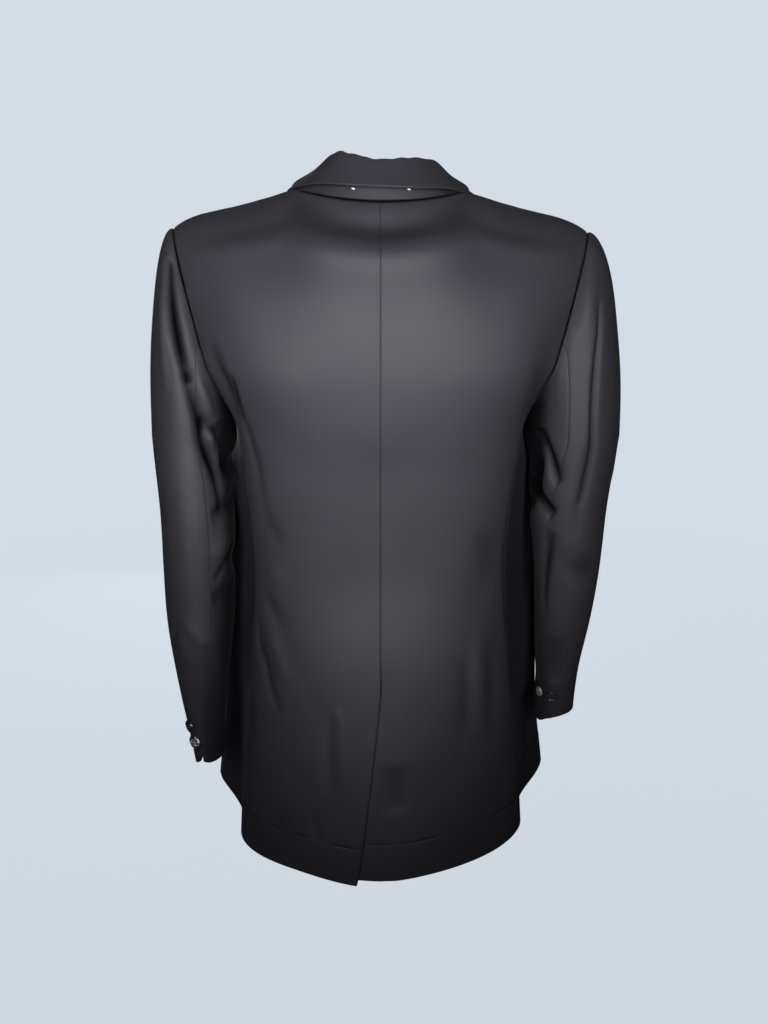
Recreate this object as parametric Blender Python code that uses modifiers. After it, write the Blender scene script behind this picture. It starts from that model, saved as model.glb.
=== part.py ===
"""Single-breasted blazer, worn form with no wearer: a hollow, open shell of cut pieces.

Metres, +Z up. The front faces -Y, the wearer's left is +X. The origin lies in the neck opening,
on the level of the shoulder-neck points, midway between them: there the wearer carries it.
Every panel is a grid between two edge tables, evaluated row by row, then given its wall.
"""

import math
from collections import namedtuple

import bpy
from mathutils import Vector

# Driving sizes
WALL = 0.0015
SEAM_GAP = 0.0003
BEND_GAP = 0.0006
NECK_GAP = 0.0009
LAP_DROP = 0.0029
LAP_START = 0.062
LAP_FULL = 0.034
LAPEL_LIFT = 0.0028
LAPEL_WIDTH = 0.080
ROLL = 0.0013
COLLAR_ON_FRONT = 0.0040
NECK_HALF_WIDTH = 0.087
NECK_BACK_Y = 0.066
NECK_BACK_Z = -0.020
NECK_SIDE_Z = -0.010
SHOULDER_TIP = Vector((0.2135, 0.0, -0.0502))
SHOULDER_CREST = 0.0050
SHOULDER_TILT = 0.0029
HEM_TILT = -0.0088
GARMENT_LENGTH = 0.72

Finish = namedtuple("Finish", "colour roughness metallic")
CLOTH = Finish((0.012, 0.012, 0.015), 0.42, 0.0)
DARK_BUTTON = Finish((0.03, 0.03, 0.035), 0.25, 0.0)
GREY_BUTTON = Finish((0.20, 0.21, 0.22), 0.22, 0.0)
METAL_BUTTON = Finish((0.62, 0.62, 0.62), 0.24, 1.0)

# Vent at the centre back: rows count up from the hem, widths are a share of the back.
VENT_TOP = 1.95
VENT_OPENING = 0.125
UNDERLAP = 0.26
VENT_CORNER_DROP = 0.007

# Edges of the panels, from the hem to the chest row, for the wearer's left half.
# turn is the heading of the body's ring in plan: 0 runs to +X, 90 to -Y, 180 back to -X.
Edge = namedtuple("Edge", "z x y turn")
CENTRE_BACK = (
    Edge(-0.718, 0.0, 0.144, 0),
    Edge(-0.620, 0.0, 0.136, 0),
    Edge(-0.510, 0.0, 0.120, 0),
    Edge(-0.400, 0.0, 0.099, 0),
    Edge(-0.300, 0.0, 0.101, 0),
    Edge(-0.240, 0.0, 0.109, 0),
    Edge(-0.185, 0.0, 0.113, 0),
)
REAR_SEAM = (
    Edge(-0.706, 0.157, 0.030, 97),
    Edge(-0.610, 0.151, 0.034, 90),
    Edge(-0.510, 0.142, 0.038, 82),
    Edge(-0.400, 0.1345, 0.042, 72),
    Edge(-0.300, 0.142, 0.044, 76),
    Edge(-0.240, 0.150, 0.045, 76),
    Edge(-0.185, 0.178, 0.048, 66),
)
FORE_SEAM = (
    Edge(-0.7035, 0.197, -0.097, 76),
    Edge(-0.610, 0.187, -0.092, 82),
    Edge(-0.510, 0.183, -0.086, 86),
    Edge(-0.400, 0.179, -0.080, 91),
    Edge(-0.300, 0.168, -0.076, 96),
    Edge(-0.240, 0.157, -0.071, 100),
    Edge(-0.185, 0.160, -0.066, 108),
)
FRONT_EDGE = (
    Edge(-0.716, 0.034, -0.176, 178),
    Edge(-0.620, -0.018, -0.168, 182),
    Edge(-0.510, -0.020, -0.152, 181),
    Edge(-0.400, -0.020, -0.131, 180),
    Edge(-0.300, 0.000, -0.130, 178),
    Edge(-0.240, 0.018, -0.126, 172),
    Edge(-0.185, 0.035, -0.119, 165),
)
# The largest folds: troughs between two places on a panel or a sleeve, depth below it.
Fold = namedtuple("Fold", "start_across start_row end_across end_row width depth")
BACK_FOLDS = (
    Fold(0.86, 5.90, 0.90, 4.60, 0.012, 0.0050),
    Fold(0.90, 3.40, 0.62, 1.60, 0.014, 0.0045),
    Fold(0.40, 2.60, 0.34, 1.00, 0.016, 0.0030),
)
LEFT_SLEEVE_FOLDS = (
    Fold(62, 0.40, 30, 0.66, 0.010, 0.0070),
    Fold(30, 0.66, -18, 1.00, 0.012, 0.0080),
    Fold(-18, 1.00, -24, 1.60, 0.012, 0.0060),
    Fold(60, 2.10, 10, 2.60, 0.016, 0.0050),
)
RIGHT_SLEEVE_FOLDS = (
    Fold(42, 0.45, 28, 1.10, 0.010, 0.0070),
    Fold(28, 1.10, 38, 2.20, 0.012, 0.0060),
    Fold(-20, 1.10, 18, 1.60, 0.012, 0.0050),
    Fold(-14, 1.75, 22, 2.30, 0.013, 0.0050),
)
CHEST_ROW = len(CENTRE_BACK) - 1
SHOULDER_ROW = CHEST_ROW + 1
BODY_MIDDLE_Y = -0.03
UNDERARM_DIP = 0.050
UNDERARM_FROM_ROW = 4.0
BACK_TURN = 62
BACK_TURN_GAIN = 22
FRONT_TURN = 84
FRONT_SCOOP = 0.5
UNDERARM_IN = 0.014

# Rows of the panels: so many up to the chest, so many more up to the shoulder.
ROWS_TO_CHEST = 14
ROWS_TO_SHOULDER = 8
BACK_COLUMNS = 10

# Lapel and collar: the break point and the gorge lie on rows of the panels.
BREAK_STEP = 8
CROSSING_TOP_STEP = 12
GORGE_STEP = 18
GORGE_SLANT = 0.75
NOTCH = 0.50
COLLAR_WIDTH_AT_SHOULDER = 0.020
COLLAR_WIDTH_AT_NOTCH = 0.043
STAND_AT_SHOULDER = 0.004

# Sleeves: sections from the biceps to the cuff. rise tilts a section, its back lower, lean
# lifts its outer side, twist turns the seams round it and square fills out its back.
Section = namedtuple("Section", "z x y half_width half_depth rise lean twist square")
LEFT_SLEEVE = (
    Section(-0.262, 0.2020, 0.004, 0.0410, 0.064, 0.00, 0.00, -6, 0.0),
    Section(-0.335, 0.1980, 0.012, 0.0392, 0.062, 0.00, 0.00, -11, 0.0),
    Section(-0.400, 0.1975, 0.012, 0.0380, 0.060, 0.02, 0.00, -12, 0.0),
    Section(-0.470, 0.1985, 0.009, 0.0350, 0.058, 0.04, 0.00, -14, 0.0),
    Section(-0.540, 0.1980, 0.007, 0.0260, 0.056, 0.04, 0.00, -22, 0.0),
    Section(-0.590, 0.1965, 0.005, 0.0185, 0.055, 0.04, 0.00, -26, 0.0),
    Section(-0.618, 0.1945, 0.004, 0.0155, 0.055, 0.04, 0.00, -20, 0.0),
)
RIGHT_SLEEVE = (
    Section(-0.262, 0.2090, 0.002, 0.0450, 0.062, 0.02, 0.00, -4, 0.0),
    Section(-0.334, 0.2043, 0.000, 0.0422, 0.060, 0.06, 0.00, -20, 0.0),
    Section(-0.398, 0.2056, -0.006, 0.0363, 0.058, 0.12, 0.02, -32, 0.2),
    Section(-0.465, 0.2034, -0.016, 0.0293, 0.057, 0.18, 0.06, -40, 0.4),
    Section(-0.524, 0.2002, -0.028, 0.0224, 0.055, 0.22, 0.14, -46, 0.7),
    Section(-0.564, 0.2002, -0.038, 0.0185, 0.055, 0.22, 0.24, -50, 0.9),
    Section(-0.5850, 0.2002, -0.044, 0.0185, 0.055, 0.22, 0.34, -52, 0.9),
)
Sleeve = namedtuple("Sleeve", "hand sections folds vent_spread")
SLEEVES = (
    Sleeve("left", LEFT_SLEEVE, LEFT_SLEEVE_FOLDS, 64),
    Sleeve("right", RIGHT_SLEEVE, RIGHT_SLEEVE_FOLDS, 3),
)
CUFF_VENT_ROW = 5.6
CUFF_EXTENSION = 0.4
HINDARM = -17
FOREARM = 215
REAR_JOINT = -32
FORE_JOINT = 222

# Collar: from the centre back to the shoulder seam; past it the fronts carry it.
CollarSection = namedtuple("CollarSection", "fold_x fold_y fold_z edge_x edge_y edge_z")
COLLAR = (
    CollarSection(0.000, 0.0560, 0.0195, 0.000, 0.0785, -0.0045),
    CollarSection(0.030, 0.0480, 0.0212, 0.039, 0.0710, -0.0045),
    CollarSection(0.055, 0.0240, 0.0140, 0.072, 0.0440, -0.0045),
    CollarSection(0.0725, -0.0040, 0.0020, 0.0930, 0.0040, -0.0072),
)
COLLAR_ROLL = 0.0024
FALL_MIDDLE = 0.6
COLLAR_FRONT_STEPS = 6
RIPPLE_SHARES = (0, 0.4, 0.9, 1, 0.9, 0.4, 0)
Ripple = namedtuple("Ripple", "x rise width")
COLLAR_RIPPLES = (
    Ripple(0.042, 0.0090, 0.013),
    Ripple(-0.052, 0.0060, 0.013),
    Ripple(-0.078, -0.0050, 0.014),
)

# Buttons: disc profiles are shares of the radius; places follow the panel that carries them.
BUTTON_RADIUS = 0.0105
BUTTON_THICKNESS = 0.0032
BUTTON_CLEARANCE = 0.0008
FRONT_BUTTON_ROWS = (3.26, 2.34)
FRONT_BUTTON_ACROSS = 0.115
CuffButton = namedtuple("CuffButton", "name hand angle row radius finish")
CUFF_BUTTONS = (
    CuffButton("cuff_button_upper_left", "left", 50, 5.54, 0.0075, DARK_BUTTON),
    CuffButton("cuff_button_lower_left", "left", 41, 5.94, 0.0085, METAL_BUTTON),
    CuffButton("cuff_button_outer_right", "right", 36, 5.58, 0.0060, DARK_BUTTON),
    CuffButton("cuff_button_inner_right", "right", 10, 5.56, 0.0055, GREY_BUTTON),
)


def spline(rows, at):
    """The table's row at this place between its rows, on a smooth curve through them."""
    at = min(max(at, 0.0), len(rows) - 1.0)
    k = min(int(at), len(rows) - 2)
    t = at - k
    a, b = rows[k], rows[k + 1]
    before = rows[k - 1] if k else a
    after = rows[k + 2] if k + 2 < len(rows) else b
    values = (
        0.5 * (2 * q + (r - p) * t + (2 * p - 5 * q + 4 * r - s) * t * t
               + (3 * q - p - 3 * r + s) * t ** 3)
        for p, q, r, s in zip(before, a, b, after)
    )
    return type(a)(*values)


def ease(value):
    """0 to 1 with soft ends."""
    value = min(1.0, max(0.0, value))
    return value * value * (3 - 2 * value)


def heading(turn):
    return Vector((math.cos(math.radians(turn)), -math.sin(math.radians(turn))))


def arc(start, end, at):
    """A stretch of the body's ring between two edges, bowed by their headings."""
    p, q = Vector((start.x, start.y)), Vector((end.x, end.y))
    reach = (q - p).length
    a, b = heading(start.turn) * reach, heading(end.turn) * reach
    t2, t3 = at * at, at ** 3
    plan = (p * (2 * t3 - 3 * t2 + 1) + a * (t3 - 2 * t2 + at)
            + q * (3 * t2 - 2 * t3) + b * (t3 - t2))
    return Vector((plan.x, plan.y, start.z + (end.z - start.z) * at))


def neck_and_shoulder(across):
    """The top of the back: half the neck curve, then the shoulder seam."""
    if across <= 0.5:
        a = across * math.pi
        rise = (NECK_SIDE_Z - NECK_BACK_Z) * math.sin(a) ** 2
        return Vector((NECK_HALF_WIDTH * math.sin(a), NECK_BACK_Y * math.cos(a),
                       NECK_BACK_Z + rise))
    return shoulder_seam(2 * across - 1)


def shoulder_seam(along):
    """From the neck to the shoulder tip, a little full before the tip."""
    neck = Vector((NECK_HALF_WIDTH, 0.0, NECK_SIDE_Z))
    point = neck.lerp(SHOULDER_TIP, along)
    point.z += SHOULDER_CREST * math.sin(math.pi * along ** 3)
    return point


def over_shoulder(low, top, rise, lean, scoop=1.0):
    """A quarter turn from a chest point up and over to the shoulder line."""
    full = math.radians(lean)
    up = math.sin(rise * full) / math.sin(full)
    over = (1 - math.cos(rise * full)) / (1 - math.cos(full))
    return Vector((low.x + (top.x - low.x) * up ** scoop,
                   low.y + (top.y - low.y) * over,
                   low.z + (top.z - low.z) * up))


def folded(point, middle, function, folds):
    """The point sunk toward the middle where the folds cross it."""
    depth = 0
    for fold in folds:
        start = function(fold.start_across, fold.start_row)
        run = function(fold.end_across, fold.end_row) - start
        along = min(1.0, max(0.0, (point - start).dot(run) / run.length_squared))
        depth += fold.depth * math.exp(-((point - start - run * along).length / fold.width) ** 2)
    return point + (middle - point).normalized() * depth


def plain_back(across, row):
    """across runs from the centre back to the side seam and armhole; below 0 it is past it."""
    if across < 0:
        point = plain_back(-across, row)
        return Vector((-point.x, point.y, point.z))
    low = arc(spline(CENTRE_BACK, row), spline(REAR_SEAM, row), across)
    if row <= CHEST_ROW:
        return low
    return over_shoulder(low, neck_and_shoulder(across), row - CHEST_ROW,
                         BACK_TURN + BACK_TURN_GAIN * across)


def back_point(across, row):
    point = plain_back(across, row)
    return folded(point, Vector((0, BODY_MIDDLE_Y, point.z)), plain_back, BACK_FOLDS)


def front_point(across, row):
    """across runs from the front edge, or the break line, to the side seam and armhole."""
    low = arc(spline(FORE_SEAM, row), spline(FRONT_EDGE, row), 1 - across)
    if row <= CHEST_ROW:
        return low
    return over_shoulder(low, shoulder_seam(across), row - CHEST_ROW, FRONT_TURN,
                         1 + FRONT_SCOOP * across)


def side_point(across, row):
    """across runs from the rear seam to the fore seam; the top dips under the arm."""
    rear, fore = spline(REAR_SEAM, row), spline(FORE_SEAM, row)
    point = arc(rear, fore, across)
    near = max(0.0, (row - UNDERARM_FROM_ROW) / (CHEST_ROW - UNDERARM_FROM_ROW)) ** 1.5
    dip = math.sin(math.pi * across)
    flat = Vector((rear.x, rear.y, rear.z)).lerp(Vector((fore.x, fore.y, fore.z)), across)
    point = point.lerp(flat, near)
    return point - Vector((UNDERARM_IN, 0, UNDERARM_DIP)) * (dip * near)


def armhole_point(angle):
    """The armhole's edge; angle 0 lies at the back, 90 at the shoulder tip, 180 in front."""
    if angle <= REAR_JOINT:
        return side_point((REAR_JOINT - angle) / (360 + REAR_JOINT - FORE_JOINT), CHEST_ROW)
    if angle <= 90:
        return back_point(1, CHEST_ROW + (angle - REAR_JOINT) / (90 - REAR_JOINT))
    if angle <= FORE_JOINT:
        return front_point(1, CHEST_ROW + (FORE_JOINT - angle) / (FORE_JOINT - 90))
    return armhole_point(angle - 360)


def plain_sleeve(sections, angle, row):
    """row 0 is the armhole seam, 1 the biceps, and the last one the cuff."""
    section = spline(sections, row - 1)
    a = math.radians(angle + section.twist * ease(row))
    deep = section.half_depth * math.cos(a)
    wide = section.half_width * math.sin(a) * (1 + section.square * max(0.0, math.cos(a)) ** 2)
    ring = Vector((section.x + wide, section.y + deep,
                   section.z - section.rise * deep + section.lean * wide))
    if row >= 1:
        return ring
    clear = SEAM_GAP + WALL * ease(0.6 - math.sin(a))
    seam = armhole_point(angle) + Vector((clear + SEAM_GAP, 0, 0))
    quarter = row * math.pi / 2
    out, down = math.sin(quarter), 1 - math.cos(quarter)
    return Vector((seam.x + (ring.x - seam.x) * out, seam.y + (ring.y - seam.y) * out,
                   seam.z + (ring.z - seam.z) * down))


def sleeve_point(sleeve, angle, row):
    point = plain_sleeve(sleeve.sections, angle, row)
    middle = spline(sleeve.sections, row - 1)
    return folded(point, Vector((middle.x, middle.y, point.z)),
                  lambda a, r: plain_sleeve(sleeve.sections, a, r), sleeve.folds)


def steps(start, end, count):
    return [start + (end - start) * i / count for i in range(count + 1)]


def grid(function, across, rows):
    """Points in rows; across and rows are the lists of places to take them at."""
    return [[function(a, r) for a in across] for r in rows]


def parted(points, left=SEAM_GAP, right=SEAM_GAP, bottom=0.0, top=0.0):
    """The grid with its edges drawn in from the seams by half of each gap."""
    moved = [[p.copy() for p in row] for row in points]
    high, wide = len(points) - 1, len(points[0]) - 1

    def draw(row, col, toward_row, toward_col, gap):
        step = points[toward_row][toward_col] - points[row][col]
        moved[row][col] += step.normalized() * (gap / 2)

    for r in range(high + 1):
        draw(r, 0, r, 1, left)
        draw(r, wide, r, wide - 1, right)
    for c in range(wide + 1):
        draw(0, c, 1, c, bottom)
        draw(high, c, high - 1, c, top)
    return moved


def mirrored(points):
    return [[Vector((-p.x, p.y, p.z)) for p in row] for row in points]


def settled(point):
    """The left shoulder sits a little higher than the right, and the left hem lower."""
    down = -point.z / GARMENT_LENGTH
    tilt = SHOULDER_TILT + (HEM_TILT - SHOULDER_TILT) * down
    return point + Vector((0, 0, tilt * point.x / SHOULDER_TIP.x))


def normal_at(function, across, row, size=0.02):
    """The way out of the surface at a place on a panel."""
    a = function(across + size, row) - function(across - size, row)
    r = function(across, row + size) - function(across, row - size)
    out = a.cross(r).normalized()
    middle = Vector((0, 0, function(across, row).z))
    return out if out.dot(function(across, row) - middle) > 0 else -out


def material(name, finish):
    made = bpy.data.materials.new(name)
    made.use_nodes = True
    shader = made.node_tree.nodes["Principled BSDF"]
    shader.inputs["Base Color"].default_value = (*finish.colour, 1)
    shader.inputs["Roughness"].default_value = finish.roughness
    shader.inputs["Metallic"].default_value = finish.metallic
    return made


def add_piece(name, mesh, finish):
    mesh.shade_smooth()
    mesh.materials.append(material(name, finish))
    piece = bpy.data.objects.new(name, mesh)
    BLAZER.objects.link(piece)
    return piece


def cloth(name, points, right_hand):
    """One cut piece: the grid as an open surface, with its wall half to each side."""
    width = len(points[0])
    faces = [
        (r * width + c, r * width + c + 1, (r + 1) * width + c + 1, (r + 1) * width + c)
        for r in range(len(points) - 1)
        for c in range(width - 1)
    ]
    if right_hand:
        points = mirrored(points)
    else:
        faces = [face[::-1] for face in faces]
    mesh = bpy.data.meshes.new(name)
    mesh.from_pydata([settled(p) for row in points for p in row], [], faces)
    piece = add_piece(name, mesh, CLOTH)
    wall = piece.modifiers.new("wall", "SOLIDIFY")
    wall.thickness = WALL
    wall.offset = 0
    return piece


def panel_rows():
    low = steps(0, CHEST_ROW, ROWS_TO_CHEST)
    return low + steps(CHEST_ROW, SHOULDER_ROW, ROWS_TO_SHOULDER)[1:]


def back(hand):
    """The vent opens below VENT_TOP: the left flap is cut back, the right runs on under it."""
    right = hand == "right"
    points = []
    for row in panel_rows():
        opened = ease((VENT_TOP - row) / 0.5) if right else max(0.0, 1 - row / VENT_TOP)
        start = -UNDERLAP * opened if right else VENT_OPENING * opened
        line = [back_point(a, row) for a in steps(start, 1, BACK_COLUMNS)]
        for p in line:
            if right:
                p.y -= LAP_DROP * ease((VENT_TOP + 0.4 - row) / 0.4) * ease(1 - p.x / 0.02)
            else:
                p.z -= VENT_CORNER_DROP * opened ** 3 * ease(1 - p.x / 0.10)
        points.append(line)
    cloth("back_" + hand, parted(points, SEAM_GAP, BEND_GAP, 0, BEND_GAP), right)


def side(hand):
    points = grid(side_point, steps(0, 1, 8), steps(0, CHEST_ROW, ROWS_TO_CHEST))
    cloth("side_" + hand, parted(points, BEND_GAP, BEND_GAP), hand == "right")


def front(hand):
    """The right front laps over the left, so the left one sinks at its edge."""
    points = grid(front_point, steps(0, 1, 10), panel_rows())
    points = parted(points, SEAM_GAP, BEND_GAP, 0, BEND_GAP)
    if hand == "left":
        for step, row in enumerate(points):
            crossing = ease((CROSSING_TOP_STEP - step) / 3) * ease((step - BREAK_STEP + 3) / 3)
            drop = LAP_DROP + LAPEL_LIFT * crossing
            for p in row:
                p.y += drop * ease((LAP_START - p.x) / (LAP_START - LAP_FULL))
    cloth("front_" + hand, points, hand == "right")
    return points


def on_panel(points, across, step, lift=0.0):
    """A place on a panel's grid, moved out from it; across is a share, step counts its rows."""
    column = min(max(across, 0.0), 1.0) * (len(points[0]) - 1)
    c = min(int(column), len(points[0]) - 2)
    r = min(int(step), len(points) - 2)
    low = points[r][c].lerp(points[r][c + 1], column - c)
    high = points[r + 1][c].lerp(points[r + 1][c + 1], column - c)
    place = low.lerp(high, step - r)
    side_way = points[r][c + 1] - points[r][c]
    out = side_way.cross(points[r + 1][c] - points[r][c]).normalized()
    return place + out * (lift if out.y < 0 or out.z > 0.5 else -lift)


def share(points, width, step):
    """A width along a front, as a share of the panel there."""
    row = points[min(int(step + 0.5), len(points) - 1)]
    return width / (row[-1] - row[0]).length


def break_roll(points, step):
    """Two points that carry a fold round the front's edge on the break line."""
    edge = on_panel(points, 0, step)
    past = (edge - on_panel(points, 0.1, step)).normalized()
    out = on_panel(points, 0, step, 1.0) - edge
    return [edge + past * ROLL, edge + past * (ROLL * 0.8) + out * (LAPEL_LIFT * 0.8)]


def lapel(hand, panel):
    """Turned back along the break line, up to the gorge, widest at its tip."""
    points = []
    for step in range(BREAK_STEP, GORGE_STEP + 1):
        v = (step - BREAK_STEP + 0.3) / (GORGE_STEP - BREAK_STEP + 0.3)
        width = LAPEL_WIDTH * (v ** 0.8 + 0.05 * math.sin(math.pi * v))
        line = break_roll(panel, step)
        for u in steps(0.12, 1, 5):
            at = step - GORGE_SLANT * u * v ** 6
            line.append(on_panel(panel, share(panel, width * u, step), at, LAPEL_LIFT))
        points.append(line)
    cloth("lapel_" + hand, points, hand == "right")


def collar_path(seam, fold, fall, edge):
    """Across the collar: up the stand, over the roll and down the fall."""
    up = (fold - (seam + edge) / 2).normalized()
    out = edge - seam
    out = (out - up * out.dot(up)).normalized()
    return [
        seam,
        seam.lerp(fold, 0.55) - out * 0.0006,
        fold - out * COLLAR_ROLL - up * COLLAR_ROLL,
        fold,
        fold + out * COLLAR_ROLL - up * COLLAR_ROLL,
        fall,
        edge,
    ]


def neck_edge(at):
    """The neck edge of the back as its straight stretches give it."""
    place = at * BACK_COLUMNS / 2
    k = min(int(place), BACK_COLUMNS // 2 - 1)
    ends = [neck_and_shoulder(n / BACK_COLUMNS) for n in (k, k + 1)]
    return ends[0].lerp(ends[1], place - k)


def collar_back(at):
    """A section from the table; at is 0 at the centre back and 1 at the shoulder."""
    s = spline(COLLAR, at * (len(COLLAR) - 1))
    fold, edge = Vector((s.fold_x, s.fold_y, s.fold_z)), Vector((s.edge_x, s.edge_y, s.edge_z))
    neck = neck_edge(at)
    seam = neck + (fold - neck).normalized() * NECK_GAP
    return collar_path(seam, fold, fold.lerp(edge, FALL_MIDDLE), edge)


def collar_front(panel, at):
    """A section that lies on the front; at is 0 at the shoulder and 1 at the notch."""
    top = len(panel) - 1
    step = top - (top - GORGE_STEP - 0.12) * at
    seam, crest = break_roll(panel, step)
    rise = COLLAR_ROLL + STAND_AT_SHOULDER * (1 - at) ** 1.5
    fold = crest + (crest - seam).normalized() * rise
    wide = COLLAR_WIDTH_AT_SHOULDER + (COLLAR_WIDTH_AT_NOTCH - COLLAR_WIDTH_AT_SHOULDER) * ease(at)
    width = share(panel, wide, step)
    slant = GORGE_SLANT * wide / LAPEL_WIDTH * at ** 3
    fall = on_panel(panel, width * FALL_MIDDLE, step - slant * FALL_MIDDLE, COLLAR_ON_FRONT)
    edge = on_panel(panel, width, step - (slant - NOTCH * at ** 3), COLLAR_ON_FRONT)
    return collar_path(seam, fold, fall, edge)


def collar(panel):
    """Stand and fall in one folded piece, from notch to notch."""
    half = [collar_back(a) for a in steps(0, 1, 10)]
    half += [collar_front(panel, a) for a in steps(0, 1, COLLAR_FRONT_STEPS)[1:]]
    paths = mirrored(half)[:0:-1] + half
    for path in paths:
        behind = ease((path[3].y + 0.015) / 0.03)
        rise = behind * sum(r.rise * math.exp(-((path[3].x - r.x) / r.width) ** 2)
                            for r in COLLAR_RIPPLES)
        for p, part in zip(path, RIPPLE_SHARES):
            p.z += rise * part
    cloth("collar", paths, False)


def sleeve_pieces(sleeve):
    """A top and an under sleeve, parted along the hindarm and the forearm, open at the cuff."""
    top, under = [], []
    for row in steps(0, 1, 7) + steps(1, len(sleeve.sections), 13)[1:]:
        opened = max(0.0, (row - CUFF_VENT_ROW) / (len(sleeve.sections) - CUFF_VENT_ROW)) ** 3
        start = HINDARM + sleeve.vent_spread * opened
        end = 360 + HINDARM + sleeve.vent_spread * opened * CUFF_EXTENSION
        top.append([sleeve_point(sleeve, a, row) for a in steps(start, FOREARM, 16)])
        under.append([sleeve_point(sleeve, a, row) for a in steps(FOREARM, end, 9)])
    right = sleeve.hand == "right"
    cloth("sleeve_top_" + sleeve.hand, parted(top, BEND_GAP, BEND_GAP), right)
    cloth("sleeve_under_" + sleeve.hand, parted(under, BEND_GAP, BEND_GAP), right)


def button(name, place, out, radius, finish, turned, sides):
    """A turned disc with a raised rim and a dished face, its back to the cloth."""
    half = BUTTON_THICKNESS / 2
    profile = ((0.0, half * 0.35), (0.55, half * 0.35), (0.72, half), (0.93, half),
               (1.0, half * 0.3), (1.0, -half * 0.6), (0.9, -half), (0.0, -half))
    mesh = bpy.data.meshes.new(name)
    mesh.from_pydata([(r * radius, 0, z) for r, z in profile], [(i, i + 1) for i in range(7)], [])
    piece = add_piece(name, mesh, finish)
    spin = piece.modifiers.new("turn", "SCREW")
    spin.steps = spin.render_steps = sides
    spin.use_merge_vertices = True
    spin.merge_threshold = 0.00005
    lift = WALL / 2 + BUTTON_CLEARANCE + half
    centre = place + out * lift
    if turned:
        centre.x, out = -centre.x, Vector((-out.x, out.y, out.z))
    piece.location = settled(centre)
    piece.rotation_mode = "QUATERNION"
    piece.rotation_quaternion = out.to_track_quat("Z", "Y")


def front_buttons():
    """On the centre line of the right front, fastened through it."""
    for name, row in zip(("front_button_upper", "front_button_lower"), FRONT_BUTTON_ROWS):
        place = front_point(FRONT_BUTTON_ACROSS, row)
        out = normal_at(front_point, FRONT_BUTTON_ACROSS, row)
        button(name, place, out, BUTTON_RADIUS, DARK_BUTTON, True, 20)


def cuff_buttons(sleeve):
    for each in CUFF_BUTTONS:
        if each.hand != sleeve.hand:
            continue
        place = sleeve_point(sleeve, each.angle, each.row)
        round_way = sleeve_point(sleeve, each.angle + 3, each.row) - place
        down = sleeve_point(sleeve, each.angle, each.row + 0.05) - place
        out = round_way.cross(down).normalized()
        button(each.name, place, out, each.radius, each.finish, each.hand == "right", 14)


BLAZER = bpy.data.collections.new("single_breasted_blazer")


def main():
    for thing in list(bpy.data.objects):
        bpy.data.objects.remove(thing, do_unlink=True)
    bpy.context.scene.collection.children.link(BLAZER)
    for sleeve in SLEEVES:
        back(sleeve.hand)
        side(sleeve.hand)
        panel = front(sleeve.hand)
        lapel(sleeve.hand, panel)
        sleeve_pieces(sleeve)
        cuff_buttons(sleeve)
    collar(panel)
    front_buttons()


main()
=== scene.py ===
"""Single-breasted blazer, worn form with no wearer, in near-black satin.

Every cut piece is a thin shell over its solid: the same edge tables give its form, and its
creases, seams, hem and stitches are laid on here. Metres, +Z up, front to -Y, left to +X.
"""

import math
from collections import namedtuple

import bpy
import numpy as np
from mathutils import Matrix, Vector


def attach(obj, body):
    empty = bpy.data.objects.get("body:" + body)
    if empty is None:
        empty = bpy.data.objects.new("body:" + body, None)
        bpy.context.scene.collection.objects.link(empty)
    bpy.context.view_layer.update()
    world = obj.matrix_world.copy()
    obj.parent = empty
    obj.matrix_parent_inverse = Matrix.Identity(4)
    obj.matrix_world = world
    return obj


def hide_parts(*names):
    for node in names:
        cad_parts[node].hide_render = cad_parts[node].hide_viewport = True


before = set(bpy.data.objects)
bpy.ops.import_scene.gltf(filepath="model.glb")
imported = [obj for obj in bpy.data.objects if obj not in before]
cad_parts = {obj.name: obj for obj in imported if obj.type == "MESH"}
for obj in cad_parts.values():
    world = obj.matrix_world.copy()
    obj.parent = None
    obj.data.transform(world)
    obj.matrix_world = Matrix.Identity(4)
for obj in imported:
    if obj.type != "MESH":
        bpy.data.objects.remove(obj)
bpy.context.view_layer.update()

# Sizes shared with the solids. How the pieces lie on each other:
SEAM_GAP = 0.0003
LAP_DROP = 0.0029
LAP_START = 0.062
LAP_FULL = 0.034
LAPEL_LIFT = 0.0028
LAPEL_WIDTH = 0.080
ROLL = 0.0013
COLLAR_ON_FRONT = 0.0040
# Neck and shoulders
NECK_GAP = 0.0009
NECK_HALF_WIDTH = 0.087
NECK_BACK_Y = 0.066
NECK_BACK_Z = -0.020
NECK_SIDE_Z = -0.010
SHOULDER_TIP = np.array((0.2135, 0.0, -0.0502))
SHOULDER_CREST = 0.0050
SHOULDER_TILT = 0.0029
HEM_TILT = -0.0088
GARMENT_LENGTH = 0.72
# Rows run from 0 at the hem to 6 at the chest and 7 at the shoulder
VENT_TOP = 1.95
VENT_OPENING = 0.125
UNDERLAP = 0.26
VENT_CORNER_DROP = 0.007
UNDERARM_DIP = 0.050
UNDERARM_IN = 0.014
UNDERARM_FROM_ROW = 4.0
# Degrees that the back and the fronts turn through, from the chest up to the shoulder, and how
# much the front is scooped out toward its armhole
BACK_TURN = 62
BACK_TURN_GAIN = 22
FRONT_TURN = 84
FRONT_SCOOP = 0.5
# Lapel and collar, by the steps of step_of
CHEST_STEP = 14
STEPS_PER_ROW = 8
BREAK_STEP = 8
CROSSING_TOP_STEP = 12
GORGE_STEP = 18
TOP_STEP = 22
GORGE_SLANT = 0.75
NOTCH = 0.50
COLLAR_WIDTH_AT_SHOULDER = 0.008
COLLAR_WIDTH_AT_NOTCH = 0.043
STAND_AT_SHOULDER = 0.004
# Degrees round a sleeve: 0 behind, 90 outside, 180 in front, 270 against the body
HINDARM = -17
FOREARM = 215
REAR_JOINT = -32
FORE_JOINT = 222
CUFF_VENT_ROW = 5.6
NOTCH_ROW = 6.35

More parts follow.
